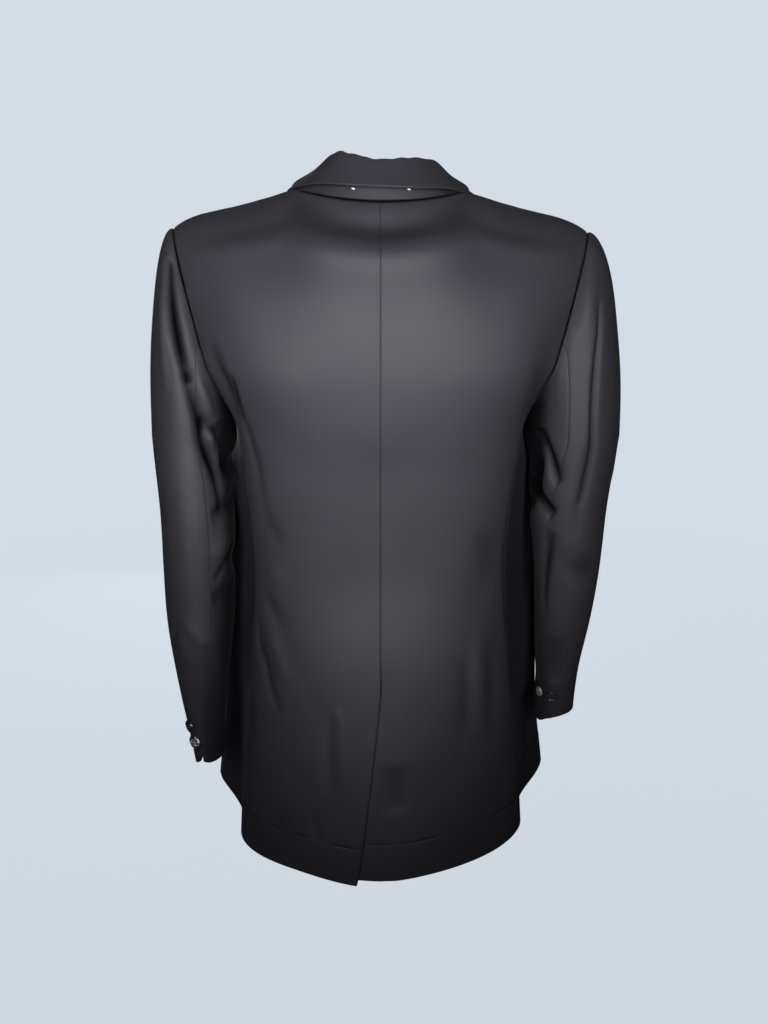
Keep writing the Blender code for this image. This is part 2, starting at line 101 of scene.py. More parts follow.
# Edges of the panels, hem to chest, for the wearer's left half; turn is the ring's heading.
Edge = namedtuple("Edge", "z x y turn")
CENTRE_BACK = (
    Edge(-0.718, 0.0, 0.144, 0),
    Edge(-0.620, 0.0, 0.136, 0),
    Edge(-0.510, 0.0, 0.120, 0),
    Edge(-0.400, 0.0, 0.099, 0),
    Edge(-0.300, 0.0, 0.101, 0),
    Edge(-0.240, 0.0, 0.109, 0),
    Edge(-0.185, 0.0, 0.113, 0),
)
REAR_SEAM = (
    Edge(-0.706, 0.157, 0.030, 97),
    Edge(-0.610, 0.151, 0.034, 90),
    Edge(-0.510, 0.142, 0.038, 82),
    Edge(-0.400, 0.1345, 0.042, 72),
    Edge(-0.300, 0.142, 0.044, 76),
    Edge(-0.240, 0.150, 0.045, 76),
    Edge(-0.185, 0.178, 0.048, 66),
)
FORE_SEAM = (
    Edge(-0.7035, 0.197, -0.097, 76),
    Edge(-0.610, 0.187, -0.092, 82),
    Edge(-0.510, 0.183, -0.086, 86),
    Edge(-0.400, 0.179, -0.080, 91),
    Edge(-0.300, 0.168, -0.076, 96),
    Edge(-0.240, 0.157, -0.071, 100),
    Edge(-0.185, 0.160, -0.066, 108),
)
FRONT_EDGE = (
    Edge(-0.716, 0.034, -0.176, 178),
    Edge(-0.620, -0.018, -0.168, 182),
    Edge(-0.510, -0.020, -0.152, 181),
    Edge(-0.400, -0.020, -0.131, 180),
    Edge(-0.300, 0.000, -0.130, 178),
    Edge(-0.240, 0.018, -0.126, 172),
    Edge(-0.185, 0.035, -0.119, 165),
)
CHEST_ROW = len(CENTRE_BACK) - 1
SHOULDER_ROW = CHEST_ROW + 1

# Sleeves: sections from the biceps to the cuff.
Section = namedtuple("Section", "z x y half_width half_depth rise lean twist square")
LEFT_SLEEVE = (
    Section(-0.262, 0.2020, 0.004, 0.0410, 0.064, 0.00, 0.00, -6, 0.0),
    Section(-0.335, 0.1980, 0.012, 0.0392, 0.062, 0.00, 0.00, -11, 0.0),
    Section(-0.400, 0.1975, 0.012, 0.0380, 0.060, 0.02, 0.00, -12, 0.0),
    Section(-0.470, 0.1985, 0.009, 0.0350, 0.058, 0.04, 0.00, -14, 0.0),
    Section(-0.540, 0.1980, 0.007, 0.0260, 0.056, 0.04, 0.00, -22, 0.0),
    Section(-0.590, 0.1965, 0.005, 0.0185, 0.055, 0.04, 0.00, -26, 0.0),
    Section(-0.618, 0.1945, 0.004, 0.0155, 0.055, 0.04, 0.00, -20, 0.0),
)
RIGHT_SLEEVE = (
    Section(-0.262, 0.2090, 0.002, 0.0450, 0.062, 0.02, 0.00, -4, 0.0),
    Section(-0.334, 0.2043, 0.000, 0.0422, 0.060, 0.06, 0.00, -20, 0.0),
    Section(-0.398, 0.2056, -0.006, 0.0363, 0.058, 0.12, 0.02, -32, 0.2),
    Section(-0.465, 0.2034, -0.016, 0.0293, 0.057, 0.18, 0.06, -40, 0.4),
    Section(-0.524, 0.2002, -0.028, 0.0224, 0.055, 0.22, 0.14, -46, 0.7),
    Section(-0.564, 0.2002, -0.038, 0.0185, 0.055, 0.22, 0.24, -50, 0.9),
    Section(-0.5850, 0.2002, -0.044, 0.0185, 0.055, 0.22, 0.34, -52, 0.9),
)
CUFF_ROW = len(LEFT_SLEEVE)
# Places round the cuff, in degrees, and how far its edge rises there
LEFT_CUFF_HEM = ((-145, -110, -75, -60, -40, -17, 20, 55),
                 (0, -0.004, -0.010, -0.0096, -0.0035, 0.0016, 0.0072, 0))
RIGHT_CUFF_HEM = ((-145, -90, -60, -40, -17, 0, 15, 30, 45, 60, 90),
                  (0, -0.006, -0.013, -0.016, -0.012, -0.006, -0.0015, 0.003, 0.004, 0.0035, 0))
# vent_spread and corner: degrees by which the vent stands open and its upper corner is cut back
Sleeve = namedtuple("Sleeve", "sections hem vent_spread corner")
SLEEVES = {
    "left": Sleeve(LEFT_SLEEVE, LEFT_CUFF_HEM, 37, 40),
    "right": Sleeve(RIGHT_SLEEVE, RIGHT_CUFF_HEM, 3, 0),
}

# Collar, from the centre back to the shoulder seam; past it the fronts carry it.
CollarSection = namedtuple("CollarSection", "fold_x fold_y fold_z edge_x edge_y edge_z")
COLLAR = (
    CollarSection(0.000, 0.0560, 0.0195, 0.000, 0.0785, -0.0045),
    CollarSection(0.030, 0.0480, 0.0212, 0.039, 0.0710, -0.0045),
    CollarSection(0.055, 0.0240, 0.0140, 0.072, 0.0440, -0.0045),
    CollarSection(0.0725, -0.0040, 0.0020, 0.0930, 0.0040, -0.0072),
)
COLLAR_ROLL = 0.0024
FALL_MIDDLE = 0.6
# Ripples and small waves that lift the collar, and its slope, drop and rest on the shoulders;
# each has its share at each of the eight places of a collar path
Ripple = namedtuple("Ripple", "x rise width")
COLLAR_RIPPLES = (
    Ripple(0.042, 0.0090, 0.013),
    Ripple(-0.052, 0.0060, 0.013),
    Ripple(-0.078, -0.0050, 0.014),
)
COLLAR_WAVES = (
    Ripple(0.0455, -0.0012, 0.0040),
    Ripple(0.0330, -0.0020, 0.0050),
    Ripple(0.0190, -0.0007, 0.0055),
    Ripple(0.0060, -0.0016, 0.0060),
    Ripple(-0.0110, -0.0014, 0.0075),
    Ripple(-0.0280, -0.0012, 0.0050),
    Ripple(-0.0450, -0.0022, 0.0080),
)
COLLAR_SLOPE = 0.030
COLLAR_DROP = 0.0004
COLLAR_LYING = 0.0031
RIPPLE_SHARES = (0, 0, 0.4, 0.9, 1, 0.9, 0.4, 0)
LYING_SHARES = (0, 0, 0, 0, 0.1, 0.25, 0.65, 1)
SLOPING_SHARES = (0, 0, 0, 0, 0, 0.1, 0.6, 1)


def ease(value):
    """0 to 1 with soft ends."""
    value = np.clip(value, 0.0, 1.0)
    return value * value * (3 - 2 * value)


def bell(distance, width):
    return np.exp(-(distance / width) ** 2)


def unit(vectors):
    return vectors / np.maximum(np.linalg.norm(vectors, axis=-1, keepdims=True), 1e-12)


def spline(rows, at):
    """The table's row at each place between its rows, on a smooth curve through them."""
    table = np.array(rows, float)
    at = np.clip(np.asarray(at, float), 0, len(table) - 1.0)
    k = np.minimum(at.astype(int), len(table) - 2)
    t = (at - k)[..., None]
    a, b = table[k], table[k + 1]
    before, after = table[np.maximum(k - 1, 0)], table[np.minimum(k + 2, len(table) - 1)]
    return 0.5 * (2 * a + (b - before) * t + (2 * before - 5 * a + 4 * b - after) * t ** 2
                  + (3 * a - before - 3 * b + after) * t ** 3)


def heading(turn):
    return np.stack([np.cos(np.radians(turn)), -np.sin(np.radians(turn))], -1)


def arc(start, end, at):
    """A stretch of the body's ring between two edges, bowed by their headings."""
    t = np.asarray(at, float)[..., None]
    p, q = start[..., 1:3], end[..., 1:3]
    reach = np.linalg.norm(q - p, axis=-1, keepdims=True)
    a, b = heading(start[..., 3]) * reach, heading(end[..., 3]) * reach
    plan = (p * (2 * t ** 3 - 3 * t ** 2 + 1) + a * (t ** 3 - 2 * t ** 2 + t)
            + q * (3 * t ** 2 - 2 * t ** 3) + b * (t ** 3 - t ** 2))
    return np.concatenate([plan, start[..., :1] + (end[..., :1] - start[..., :1]) * t], -1)


def shoulder_seam(along):
    neck = np.array((NECK_HALF_WIDTH, 0.0, NECK_SIDE_Z))
    along = np.clip(np.asarray(along, float), 0, 1)[..., None]
    crest = SHOULDER_CREST * np.sin(math.pi * along ** 3)
    return neck + (SHOULDER_TIP - neck) * along + crest * np.array((0, 0, 1))


def neck_and_shoulder(across):
    """The top of the back: half the neck curve, then the shoulder seam."""
    a = np.clip(across, 0, 0.5) * math.pi
    rise = (NECK_SIDE_Z - NECK_BACK_Z) * np.sin(a) ** 2
    neck = np.stack([NECK_HALF_WIDTH * np.sin(a), NECK_BACK_Y * np.cos(a), NECK_BACK_Z + rise], -1)
    return np.where((np.asarray(across) <= 0.5)[..., None], neck, shoulder_seam(2 * across - 1))


def over_shoulder(low, top, rise, lean, scoop=1.0):
    """A quarter turn from a chest point up and over to the shoulder line."""
    full = np.radians(lean)
    rise = np.maximum(rise, 0)
    up = np.sin(rise * full) / np.sin(full)
    over = (1 - np.cos(rise * full)) / (1 - np.cos(full))
    share = np.stack([up ** scoop, over, up], -1)
    return low + (top - low) * share


def plain_back(across, row):
    """across runs from the centre back to the side seam and armhole; below 0 it is past it."""
    across, row = np.broadcast_arrays(np.asarray(across, float), np.asarray(row, float))
    there = np.abs(across)
    low = arc(spline(CENTRE_BACK, row), spline(REAR_SEAM, row), there)
    point = over_shoulder(low, neck_and_shoulder(there), row - CHEST_ROW,
                          BACK_TURN + BACK_TURN_GAIN * there)
    point[..., 0] *= np.where(across < 0, -1, 1)
    return point


def plain_front(across, row):
    """across runs from the front edge, or the break line, to the side seam and armhole."""
    across, row = np.broadcast_arrays(np.asarray(across, float), np.asarray(row, float))
    low = arc(spline(FORE_SEAM, row), spline(FRONT_EDGE, row), 1 - across)
    return over_shoulder(low, shoulder_seam(across), row - CHEST_ROW, FRONT_TURN,
                         1 + FRONT_SCOOP * across)


def plain_side(across, row):
    """across runs from the rear seam to the fore seam; the top dips under the arm."""
    across, row = np.broadcast_arrays(np.asarray(across, float), np.asarray(row, float))
    rear, fore = spline(REAR_SEAM, row), spline(FORE_SEAM, row)
    point = arc(rear, fore, across)
    near = np.maximum(0.0, (row - UNDERARM_FROM_ROW) / (CHEST_ROW - UNDERARM_FROM_ROW)) ** 1.5
    ends = [edge[..., (1, 2, 0)] for edge in (rear, fore)]
    flat = ends[0] + (ends[1] - ends[0]) * across[..., None]
    point = point + (flat - point) * near[..., None]
    dip = (np.sin(math.pi * across) * near)[..., None]
    return point - np.array((UNDERARM_IN, 0, UNDERARM_DIP)) * dip


def armhole_point(angle):
    """The armhole's edge; angle 0 lies at the back, 90 at the shoulder tip, 180 in front."""
    angle = np.asarray(angle, float)
    angle = np.where(angle > FORE_JOINT, angle - 360, angle)
    under = plain_side(np.clip((REAR_JOINT - angle) / (360 + REAR_JOINT - FORE_JOINT), 0, 1),
                       CHEST_ROW)
    behind = plain_back(1, CHEST_ROW + np.clip((angle - REAR_JOINT) / (90 - REAR_JOINT), 0, 1))
    before = plain_front(1, CHEST_ROW + np.clip((FORE_JOINT - angle) / (FORE_JOINT - 90), 0, 1))
    outer = np.where((angle <= 90)[..., None], behind, before)
    return np.where((angle <= REAR_JOINT)[..., None], under, outer)


def plain_sleeve(sections, angle, row):
    """row 0 is the armhole seam, 1 the biceps, and the last one the cuff."""
    angle, row = np.broadcast_arrays(np.asarray(angle, float), np.asarray(row, float))
    z, x, y, half_width, half_depth, rise, lean, twist, square = np.moveaxis(
        spline(sections, row - 1), -1, 0)
    a = np.radians(angle + twist * ease(row))
    deep = half_depth * np.cos(a)
    wide = half_width * np.sin(a) * (1 + square * np.maximum(0.0, np.cos(a)) ** 2)
    ring = np.stack([x + wide, y + deep, z - rise * deep + lean * wide], -1)
    seam = armhole_point(angle)
    seam[..., 0] += SEAM_GAP
    quarter = np.clip(row, 0, 1) * math.pi / 2
    share = np.stack([np.sin(quarter), np.sin(quarter), 1 - np.cos(quarter)], -1)
    return np.where((row < 1)[..., None], seam + (ring - seam) * share, ring)


# Creases and folds, listed by the panel that they start from. A place is (across, row) on a
# body panel, or (angle, row) on a sleeve. depth is below the cloth, and a ridge has a negative
# one; taper lets the ends run out, and lean makes one flank steeper.
Crease = namedtuple("Crease", "places width depth taper lean", defaults=(0.8, 0.0))
CREASES = {
    "back_left": (
        Crease(((0.9, 6.12), (0.85, 5.9), (0.86, 5.4), (0.93, 5.02)), 0.008, 0.005, 0.6),
        Crease(((0.85, 6.18), (0.79, 6.0), (0.8, 5.45), (0.87, 5.1)), 0.0035, -0.0012, 0.5),
        Crease(((0.85, 5.25), (0.83, 5.0), (0.81, 4.62), (0.77, 4.2), (0.76, 3.7)),
               0.006, 0.0026, 0.6),
        Crease(((0.78, 3.75), (0.72, 3.5), (0.62, 3.28)), 0.009, 0.002, 1.0),
        Crease(((0.76, 3.15), (0.68, 2.9)), 0.01, -0.0018, 1.0),
        Crease(((0.84, 2.86), (0.74, 2.7), (0.6, 2.48)), 0.008, 0.0024),
        Crease(((0.88, 2.55), (0.84, 2.3), (0.76, 2.15), (0.68, 1.9), (0.58, 1.65)),
               0.006, 0.0038, 0.6, 0.2),
        Crease(((0.78, 2.52), (0.66, 2.28), (0.56, 2.0)), 0.008, -0.0022),
        Crease(((0.28, 1.72), (0.28, 1.4), (0.27, 0.95)), 0.008, 0.002, 0.7, 0.2),
        Crease(((0.235, 1.7), (0.22, 1.4), (0.21, 1.0)), 0.009, -0.0013),
        Crease(((0.25, 1.76), (0.235, 1.7)), 0.004, -0.0018, 0.0),
        Crease(((0.36, 0.78), (0.335, 0.6), (0.31, 0.46)), 0.004, 0.0014),
        Crease(((0.57, 0.7), (0.53, 0.58), (0.52, 0.46)), 0.006, 0.0012),
        Crease(((0.93, 1.72), (0.87, 1.55), (0.82, 1.33)), 0.008, 0.003),
        Crease(((-0.48, 6.84), (-0.3, 6.81), (-0.1, 6.79), (0.1, 6.79), (0.3, 6.81), (0.5, 6.84)),
               0.015, 0.004, 0.5),
        Crease(((-0.9, 6.69), (-0.5, 6.7), (0, 6.71), (0.5, 6.7), (0.9, 6.69)), 0.012, 0.0026, 0.4),
        Crease(((-0.95, 6.61), (-0.5, 6.62), (0, 6.62), (0.5, 6.61), (0.95, 6.6)),
               0.014, -0.0034, 0.3),
        Crease(((0.78, 5.92), (0.8, 5.6), (0.83, 5.3), (0.86, 5.05)), 0.0034, 0.0056, 0.5, 0.3),
    ),
    "back_right": (
        Crease(((0.62, 2.45), (0.6, 2.0), (0.585, 1.35)), 0.01, -0.0022),
        Crease(((0.51, 2.3), (0.5, 1.85), (0.46, 1.4)), 0.01, 0.0018),
        Crease(((0.72, 2.3), (0.68, 1.85), (0.64, 1.3)), 0.01, 0.0024),
        Crease(((0.085, 1.25), (0.09, 1.03), (0.08, 0.8)), 0.014, 0.0028, 0.5),
        Crease(((0.72, 3.5), (0.72, 3.15), (0.72, 2.8)), 0.016, 0.0024, 0.6),
        Crease(((0.86, 6.2), (0.9, 5.6), (0.97, 5.0)), 0.016, 0.0028, 0.6),
        Crease(((0.96, 4.3), (0.955, 3.5), (0.955, 2.6), (0.95, 1.8), (0.94, 1.2)),
               0.006, 0.003, 0.6),
    ),
    "front_right": (
        Crease(((0.14, 3.22), (0.35, 3.9), (0.6, 4.7)), 0.014, 0.003),
        Crease(((0.16, 3.25), (0.45, 3.45), (0.8, 3.7)), 0.016, 0.0028),
        Crease(((0.17, 3.12), (0.31, 2.2), (0.38, 1.2)), 0.016, 0.0034),
        Crease(((0.62, 2.3), (0.6, 1.3), (0.57, 0.35)), 0.019, 0.003),
        Crease(((0.97, 5.6), (0.83, 5.1), (0.74, 4.5)), 0.011, 0.0042),
    ),
    "front_left": (
        Crease(((0.22, 3.3), (0.42, 4.0), (0.66, 4.9)), 0.014, 0.0028),
        Crease(((0.24, 3.18), (0.5, 3.3), (0.86, 3.55)), 0.016, 0.003),
        Crease(((0.24, 3.0), (0.36, 2.1), (0.42, 1.0)), 0.016, 0.0032),
        Crease(((0.7, 2.2), (0.68, 1.2), (0.64, 0.3)), 0.019, 0.003),
        Crease(((0.98, 5.75), (0.84, 5.2), (0.78, 4.7)), 0.011, 0.0046),
    ),
    "side_left": (
        Crease(((0.55, 3.9), (0.5, 3.1), (0.52, 2.3)), 0.014, 0.003),
        Crease(((0.4, 1.9), (0.45, 1.1), (0.42, 0.35)), 0.018, 0.0034),
    ),
    "side_right": (
        Crease(((0.45, 4.1), (0.52, 3.2), (0.48, 2.5)), 0.014, 0.003),
        Crease(((0.5, 2.5), (0.5, 1.9), (0.5, 1.25)), 0.034, -0.006, 0.6),
        Crease(((0.58, 2.0), (0.52, 1.2), (0.55, 0.35)), 0.018, 0.003),
    ),
    "sleeve_left": (
        Crease(((51, 0.18), (34, 0.35), (21, 0.45), (7, 0.55), (-6, 0.65)),
               0.0062, 0.0088, 0.5, 0.25),
        Crease(((0, 0.6), (-20, 0.83), (-29, 1.23), (-38, 1.55), (-44, 2.0)), 0.0075, 0.0085, 0.5),
        Crease(((50, 0.42), (36, 0.6), (30, 0.8)), 0.005, -0.0022),
        Crease(((-46, 0.78), (-56, 1.15), (-60, 1.6)), 0.01, 0.0075, 0.6),
        Crease(((-22, 0.8), (-35, 0.83), (-56, 0.9)), 0.006, 0.003, 0.6),
        Crease(((-20, 0.5), (-31, 0.62), (-40, 0.74)), 0.006, -0.003),
        Crease(((-26, 0.9), (-42, 1.04)), 0.007, -0.003),
        Crease(((-22, 2.0), (-44, 1.98), (-80, 1.9)), 0.008, 0.0048, 0.7),
        Crease(((-20, 2.73), (-34, 2.58), (-58, 2.38)), 0.01, -0.0036),
        Crease(((-24, 3.1), (-43, 2.93), (-70, 2.65)), 0.005, 0.0062, 0.6, 0.3),
        Crease(((-19, 3.43), (-36, 3.38), (-70, 3.32)), 0.012, 0.0046, 0.7),
        Crease(((39, 3.6), (18, 3.8), (4, 4.05), (4, 4.5)), 0.008, -0.0022),
        Crease(((44, 3.8), (37, 4.08), (32, 4.45)), 0.008, -0.0018),
        Crease(((8, 4.0), (-9, 4.0), (-30, 4.0)), 0.008, -0.002),
        Crease(((228, 0.8), (254, 1.0), (286, 1.16)), 0.019, -0.0072, 0.0),
        Crease(((232, 0.45), (212, 0.8), (196, 1.4)), 0.01, 0.006, 0.7),
        Crease(((168, 2.15), (192, 2.3), (222, 2.3)), 0.01, 0.0046, 0.7),
        Crease(((150, 2.9), (185, 2.78), (225, 2.6)), 0.01, 0.0042, 0.7, 0.2),
        Crease(((142, 3.5), (175, 3.66), (215, 3.58)), 0.013, 0.004),
        Crease(((96, 1.5), (116, 2.3), (126, 3.2)), 0.015, 0.0028),
        Crease(((246, 1.2), (280, 1.4), (312, 1.46)), 0.012, 0.0046, 0.7),
        Crease(((240, 3.1), (272, 3.0), (300, 2.8)), 0.011, 0.004, 0.7),
    ),
    "sleeve_right": (
        Crease(((35, 0.38), (26, 0.53), (18, 0.65), (13, 0.9), (18, 1.43), (22, 1.9)),
               0.003, 0.0046, 0.4, 0.3),
        Crease(((13, 0.9), (18, 1.43), (22, 1.9), (24, 2.5)), 0.007, 0.0022),
        Crease(((33, 0.12), (20, 0.25), (4, 0.36)), 0.006, -0.0015),
        Crease(((-58, 0.8), (-60, 1.2), (-54, 1.6), (-58, 2.2)), 0.012, 0.0105, 0.6),
        Crease(((45, 0.12), (25, 0.3), (12, 0.46)), 0.007, -0.0016),
        Crease(((-64, 0.86), (-38, 1.3), (-15, 1.64)), 0.0058, 0.0092, 0.5, 0.2),
        Crease(((-52, 1.4), (-32, 1.62), (-16, 1.8)), 0.008, -0.0012),
        Crease(((-76, 1.72), (-35, 1.93), (-10, 2.1)), 0.0062, 0.0092, 0.5, 0.2),
        Crease(((-58, 2.08), (-30, 2.2), (-12, 2.42)), 0.009, -0.002),
        Crease(((-9, 2.35), (-12, 2.83), (-12, 3.45), (-4, 3.75)), 0.0064, 0.0056, 0.5),
        Crease(((30, 3.15), (46, 3.0), (70, 3.0)), 0.016, 0.0032),
        Crease(((20, 4.2), (27, 4.62), (31, 5.2)), 0.014, 0.0034, 0.7),
        Crease(((240, 0.72), (262, 0.92), (292, 1.1)), 0.021, -0.0094, 0.0),
        Crease(((230, 0.5), (210, 0.9), (192, 1.5)), 0.01, 0.0056, 0.7),
        Crease(((150, 1.9), (182, 2.12), (218, 2.2)), 0.01, 0.0052, 0.7),
        Crease(((140, 2.7), (176, 2.72), (220, 2.6)), 0.01, 0.0046, 0.7, 0.2),
        Crease(((150, 3.4), (185, 3.52), (222, 3.4)), 0.012, 0.004),
        Crease(((92, 1.6), (110, 2.4), (118, 3.3)), 0.015, 0.0026),
        Crease(((244, 2.3), (276, 2.2), (306, 2.05)), 0.011, 0.0044, 0.7),
    ),
}

# Walls of single and folded cloth, and the spacing of points on them
CLOTH_WALL = 0.0011
DOUBLE_WALL = 0.0020
SPACING = 0.0038
SLEEVE_SPACING = 0.0028
# Rows and columns crowd toward a piece's edges, to carry its seams and its rolled edge, and
# nearer still where it is shorter than SHORT.
NEAR_EDGE = np.array((0.0, 0.0003, 0.0009, 0.0019, 0.0034, 0.0056, 0.0086))
SHORT = 0.06
# Rows turned in at a sewn edge: how deep each lies, and how far past the edge
TURN_IN = ((0.0014, 0.00010), (0.0042, 0.00014))
RIM_REACH = 0.45
# Grooves of a pressed and of a soft seam, with painted shade in them and on their turned-in rows,
# and the puckers beside them
PRESSED = 0.0003
DEEP = 0.0010
GROOVE_WIDTH = 0.0012
SEAM_SHADE_WIDTH = 0.0009
SEAM_SHADE_WIDTH_AT_TOP = 0.0016
TURNED_SHADE = 0.7
PUCKER = 0.00014
PUCKER_SIZE = 0.021
PUCKER_WIDTH = 0.0075
# Cloth swells softly all over, less beside its seams, and creases this deep are painted in full
# shade
SWELL = 0.0004
SWELL_SIZE = 0.085
CALM_WIDTH = 0.02
FULL_SHADE_DEPTH = 0.0075
# The hem's turn-up, and the pull of its stitches with painted shade along it
HEM_DEPTH = 0.040
HEM_ROWS = np.linspace(0.415, 0.545, 15)
HEM_STEP = 0.0003
HEM_STEP_WIDTH = 0.002
STITCH_ABOVE = 0.0010
STITCH_SIZE = 0.030
STITCH_PULL = 0.0006
STITCH_PULL_WIDTH = 0.0014
STITCH_SHADE = 0.55
STITCH_SHADE_WIDTH = 0.0011
# Length of the body below the chest, and of the yoke above it
BODY_LENGTH = 0.55
YOKE_LENGTH = 0.15
ROW_LENGTH = 0.055
# Lengths of a sleeve's head and of the rest of it
HEAD_LENGTH = 0.21
SLEEVE_LENGTH = 0.34
HEM_FROM_ROW = 6.2
# How far from the chest row a bend is softened, in metres, and how far from the neck's corner,
# in shares of the back's width
CHEST_BEND = 0.075
BACK_NECK_AT = 0.42
NECK_BEND = 0.22


def step_of(row):
    """Rows of a front counted as its lapel and lap count them."""
    return np.where(row <= CHEST_ROW, row * CHEST_STEP / CHEST_ROW,
                    CHEST_STEP + (row - CHEST_ROW) * STEPS_PER_ROW)


def row_of(step):
    return np.where(step <= CHEST_STEP, step * CHEST_ROW / CHEST_STEP,
                    CHEST_ROW + (step - CHEST_STEP) / STEPS_PER_ROW)


def mirrored(points):
    return points * np.array((-1, 1, 1))


def handed(points, hand):
    """Points of the wearer's left half, on the side that is asked for."""
    return mirrored(points) if hand == "right" else points


def settled(points):
    """The left shoulder sits a little higher than the right, and the left hem lower."""
    points = np.array(points, float)
    down = -points[..., 2] / GARMENT_LENGTH
    tilt = SHOULDER_TILT + (HEM_TILT - SHOULDER_TILT) * down
    points[..., 2] += tilt * points[..., 0] / SHOULDER_TIP[0]
    return points


def on_panel(panel, across, row):
    """A place of a crease, on the plain form of the panel that it starts from."""
    kind, hand = panel.split("_")
    if kind == "sleeve":
        return handed(plain_sleeve(SLEEVES[hand].sections, across, row), hand)
    plain = {"back": plain_back, "front": plain_front, "side": plain_side}[kind]
    return handed(plain(across, row), hand)


def creases_on(*panels):
    """The creases of these panels, each as its line, width, depth, taper and lean."""
    return [(crease_line(panel, crease.places), *crease[1:])
            for panel in panels for crease in CREASES[panel]]


def crease_line(panel, places):
    places = np.array(places, float)
    at = np.linspace(0, len(places) - 1, 8 * (len(places) - 1) + 1)
    if len(places) > 2:
        smooth = spline(places, at)
    else:
        smooth = places[0] + (places[1] - places[0]) * at[:, None]
    return on_panel(panel, smooth[:, 0], smooth[:, 1])


def sunk_by(points, normals, line, width, deepest, taper, lean):
    """How far a crease sinks each point; past 3.2 widths it is nothing."""
    reach = 3.2 * width * (1 + abs(lean))
    flat = points.reshape(-1, 3)
    near = np.all((flat > line.min(0) - reach) & (flat < line.max(0) + reach), axis=1)
    depth = np.zeros(len(flat))
    if not near.any():
        return depth.reshape(points.shape[:-1])
    here, out = flat[near], normals.reshape(-1, 3)[near]
    start, run = line[:-1], line[1:] - line[:-1]
    along = np.einsum("nmk,mk->nm", here[:, None] - start, run) / (run ** 2).sum(-1)
    along = np.clip(along, 0, 1)
    gap = here[:, None] - (start + run * along[..., None])
    far = np.linalg.norm(gap, axis=-1)
    k = far.argmin(1)
    pick = np.arange(len(k))
    place = (k + along[pick, k]) / len(run)
    flank = np.sign(np.einsum("nk,nk->n", np.cross(run[k], gap[pick, k]), out))
    ends = np.sin(math.pi * np.clip(place, 0.0, 1.0)) ** taper if taper else 1.0
    depth[near] = deepest * bell(far[pick, k], width * (1 + lean * flank)) * ends
    return depth.reshape(points.shape[:-1])


WAVES = np.random.default_rng(7).normal(size=(3, 6, 3))


def uneven(points, size, which=0):
    """Soft, irregular swelling between about -1 and 1, the same on both sides of a seam."""
    waves = unit(WAVES[which]) / size
    starts = np.arange(len(waves)) * 1.7 * (which + 1)
    return np.sin(points @ waves.T * 2 * math.pi + starts).sum(-1) / 2.6


def normals_of(grid, outward):
    """The way out at each point of a grid; outward is 1 or -1."""
    down = np.gradient(grid, axis=0)
    along = np.gradient(grid, axis=1)
    return unit(np.cross(along, down)) * outward


def crowded(length, spacing, at_ends=(True, True)):
    """Shares from 0 to 1 along each of these lengths, crowded toward the ends."""
    length = np.atleast_1d(length)
    squeeze = np.minimum(1.0, length / SHORT)[:, None]
    edge = NEAR_EDGE[None] * squeeze / length[:, None]
    low = edge if at_ends[0] else edge[:, :1]
    high = 1 - (edge[:, ::-1] if at_ends[1] else edge[:, :1])
    count = max(3, int(round(float(length.mean()) / spacing)))
    middle = np.linspace(0, 1, count + 1)[1:-1]
    middle = low[:, -1:] + (high[:, :1] - low[:, -1:]) * middle
    return np.concatenate([low, middle, high], 1)


def run_length(grid, axis):
    """Distance run along a grid's rows (axis 1) or columns (axis 0)."""
    steps = np.linalg.norm(np.diff(grid, axis=axis), axis=-1)
    total = np.cumsum(steps, axis=axis)
    return np.concatenate([np.zeros_like(total.take([0], axis)), total], axis)


def placed(name, data):
    """An object in the scene that shows this mesh, curve, light or camera."""
    made = bpy.data.objects.new(name, data)
    bpy.context.scene.collection.objects.link(made)
    return made


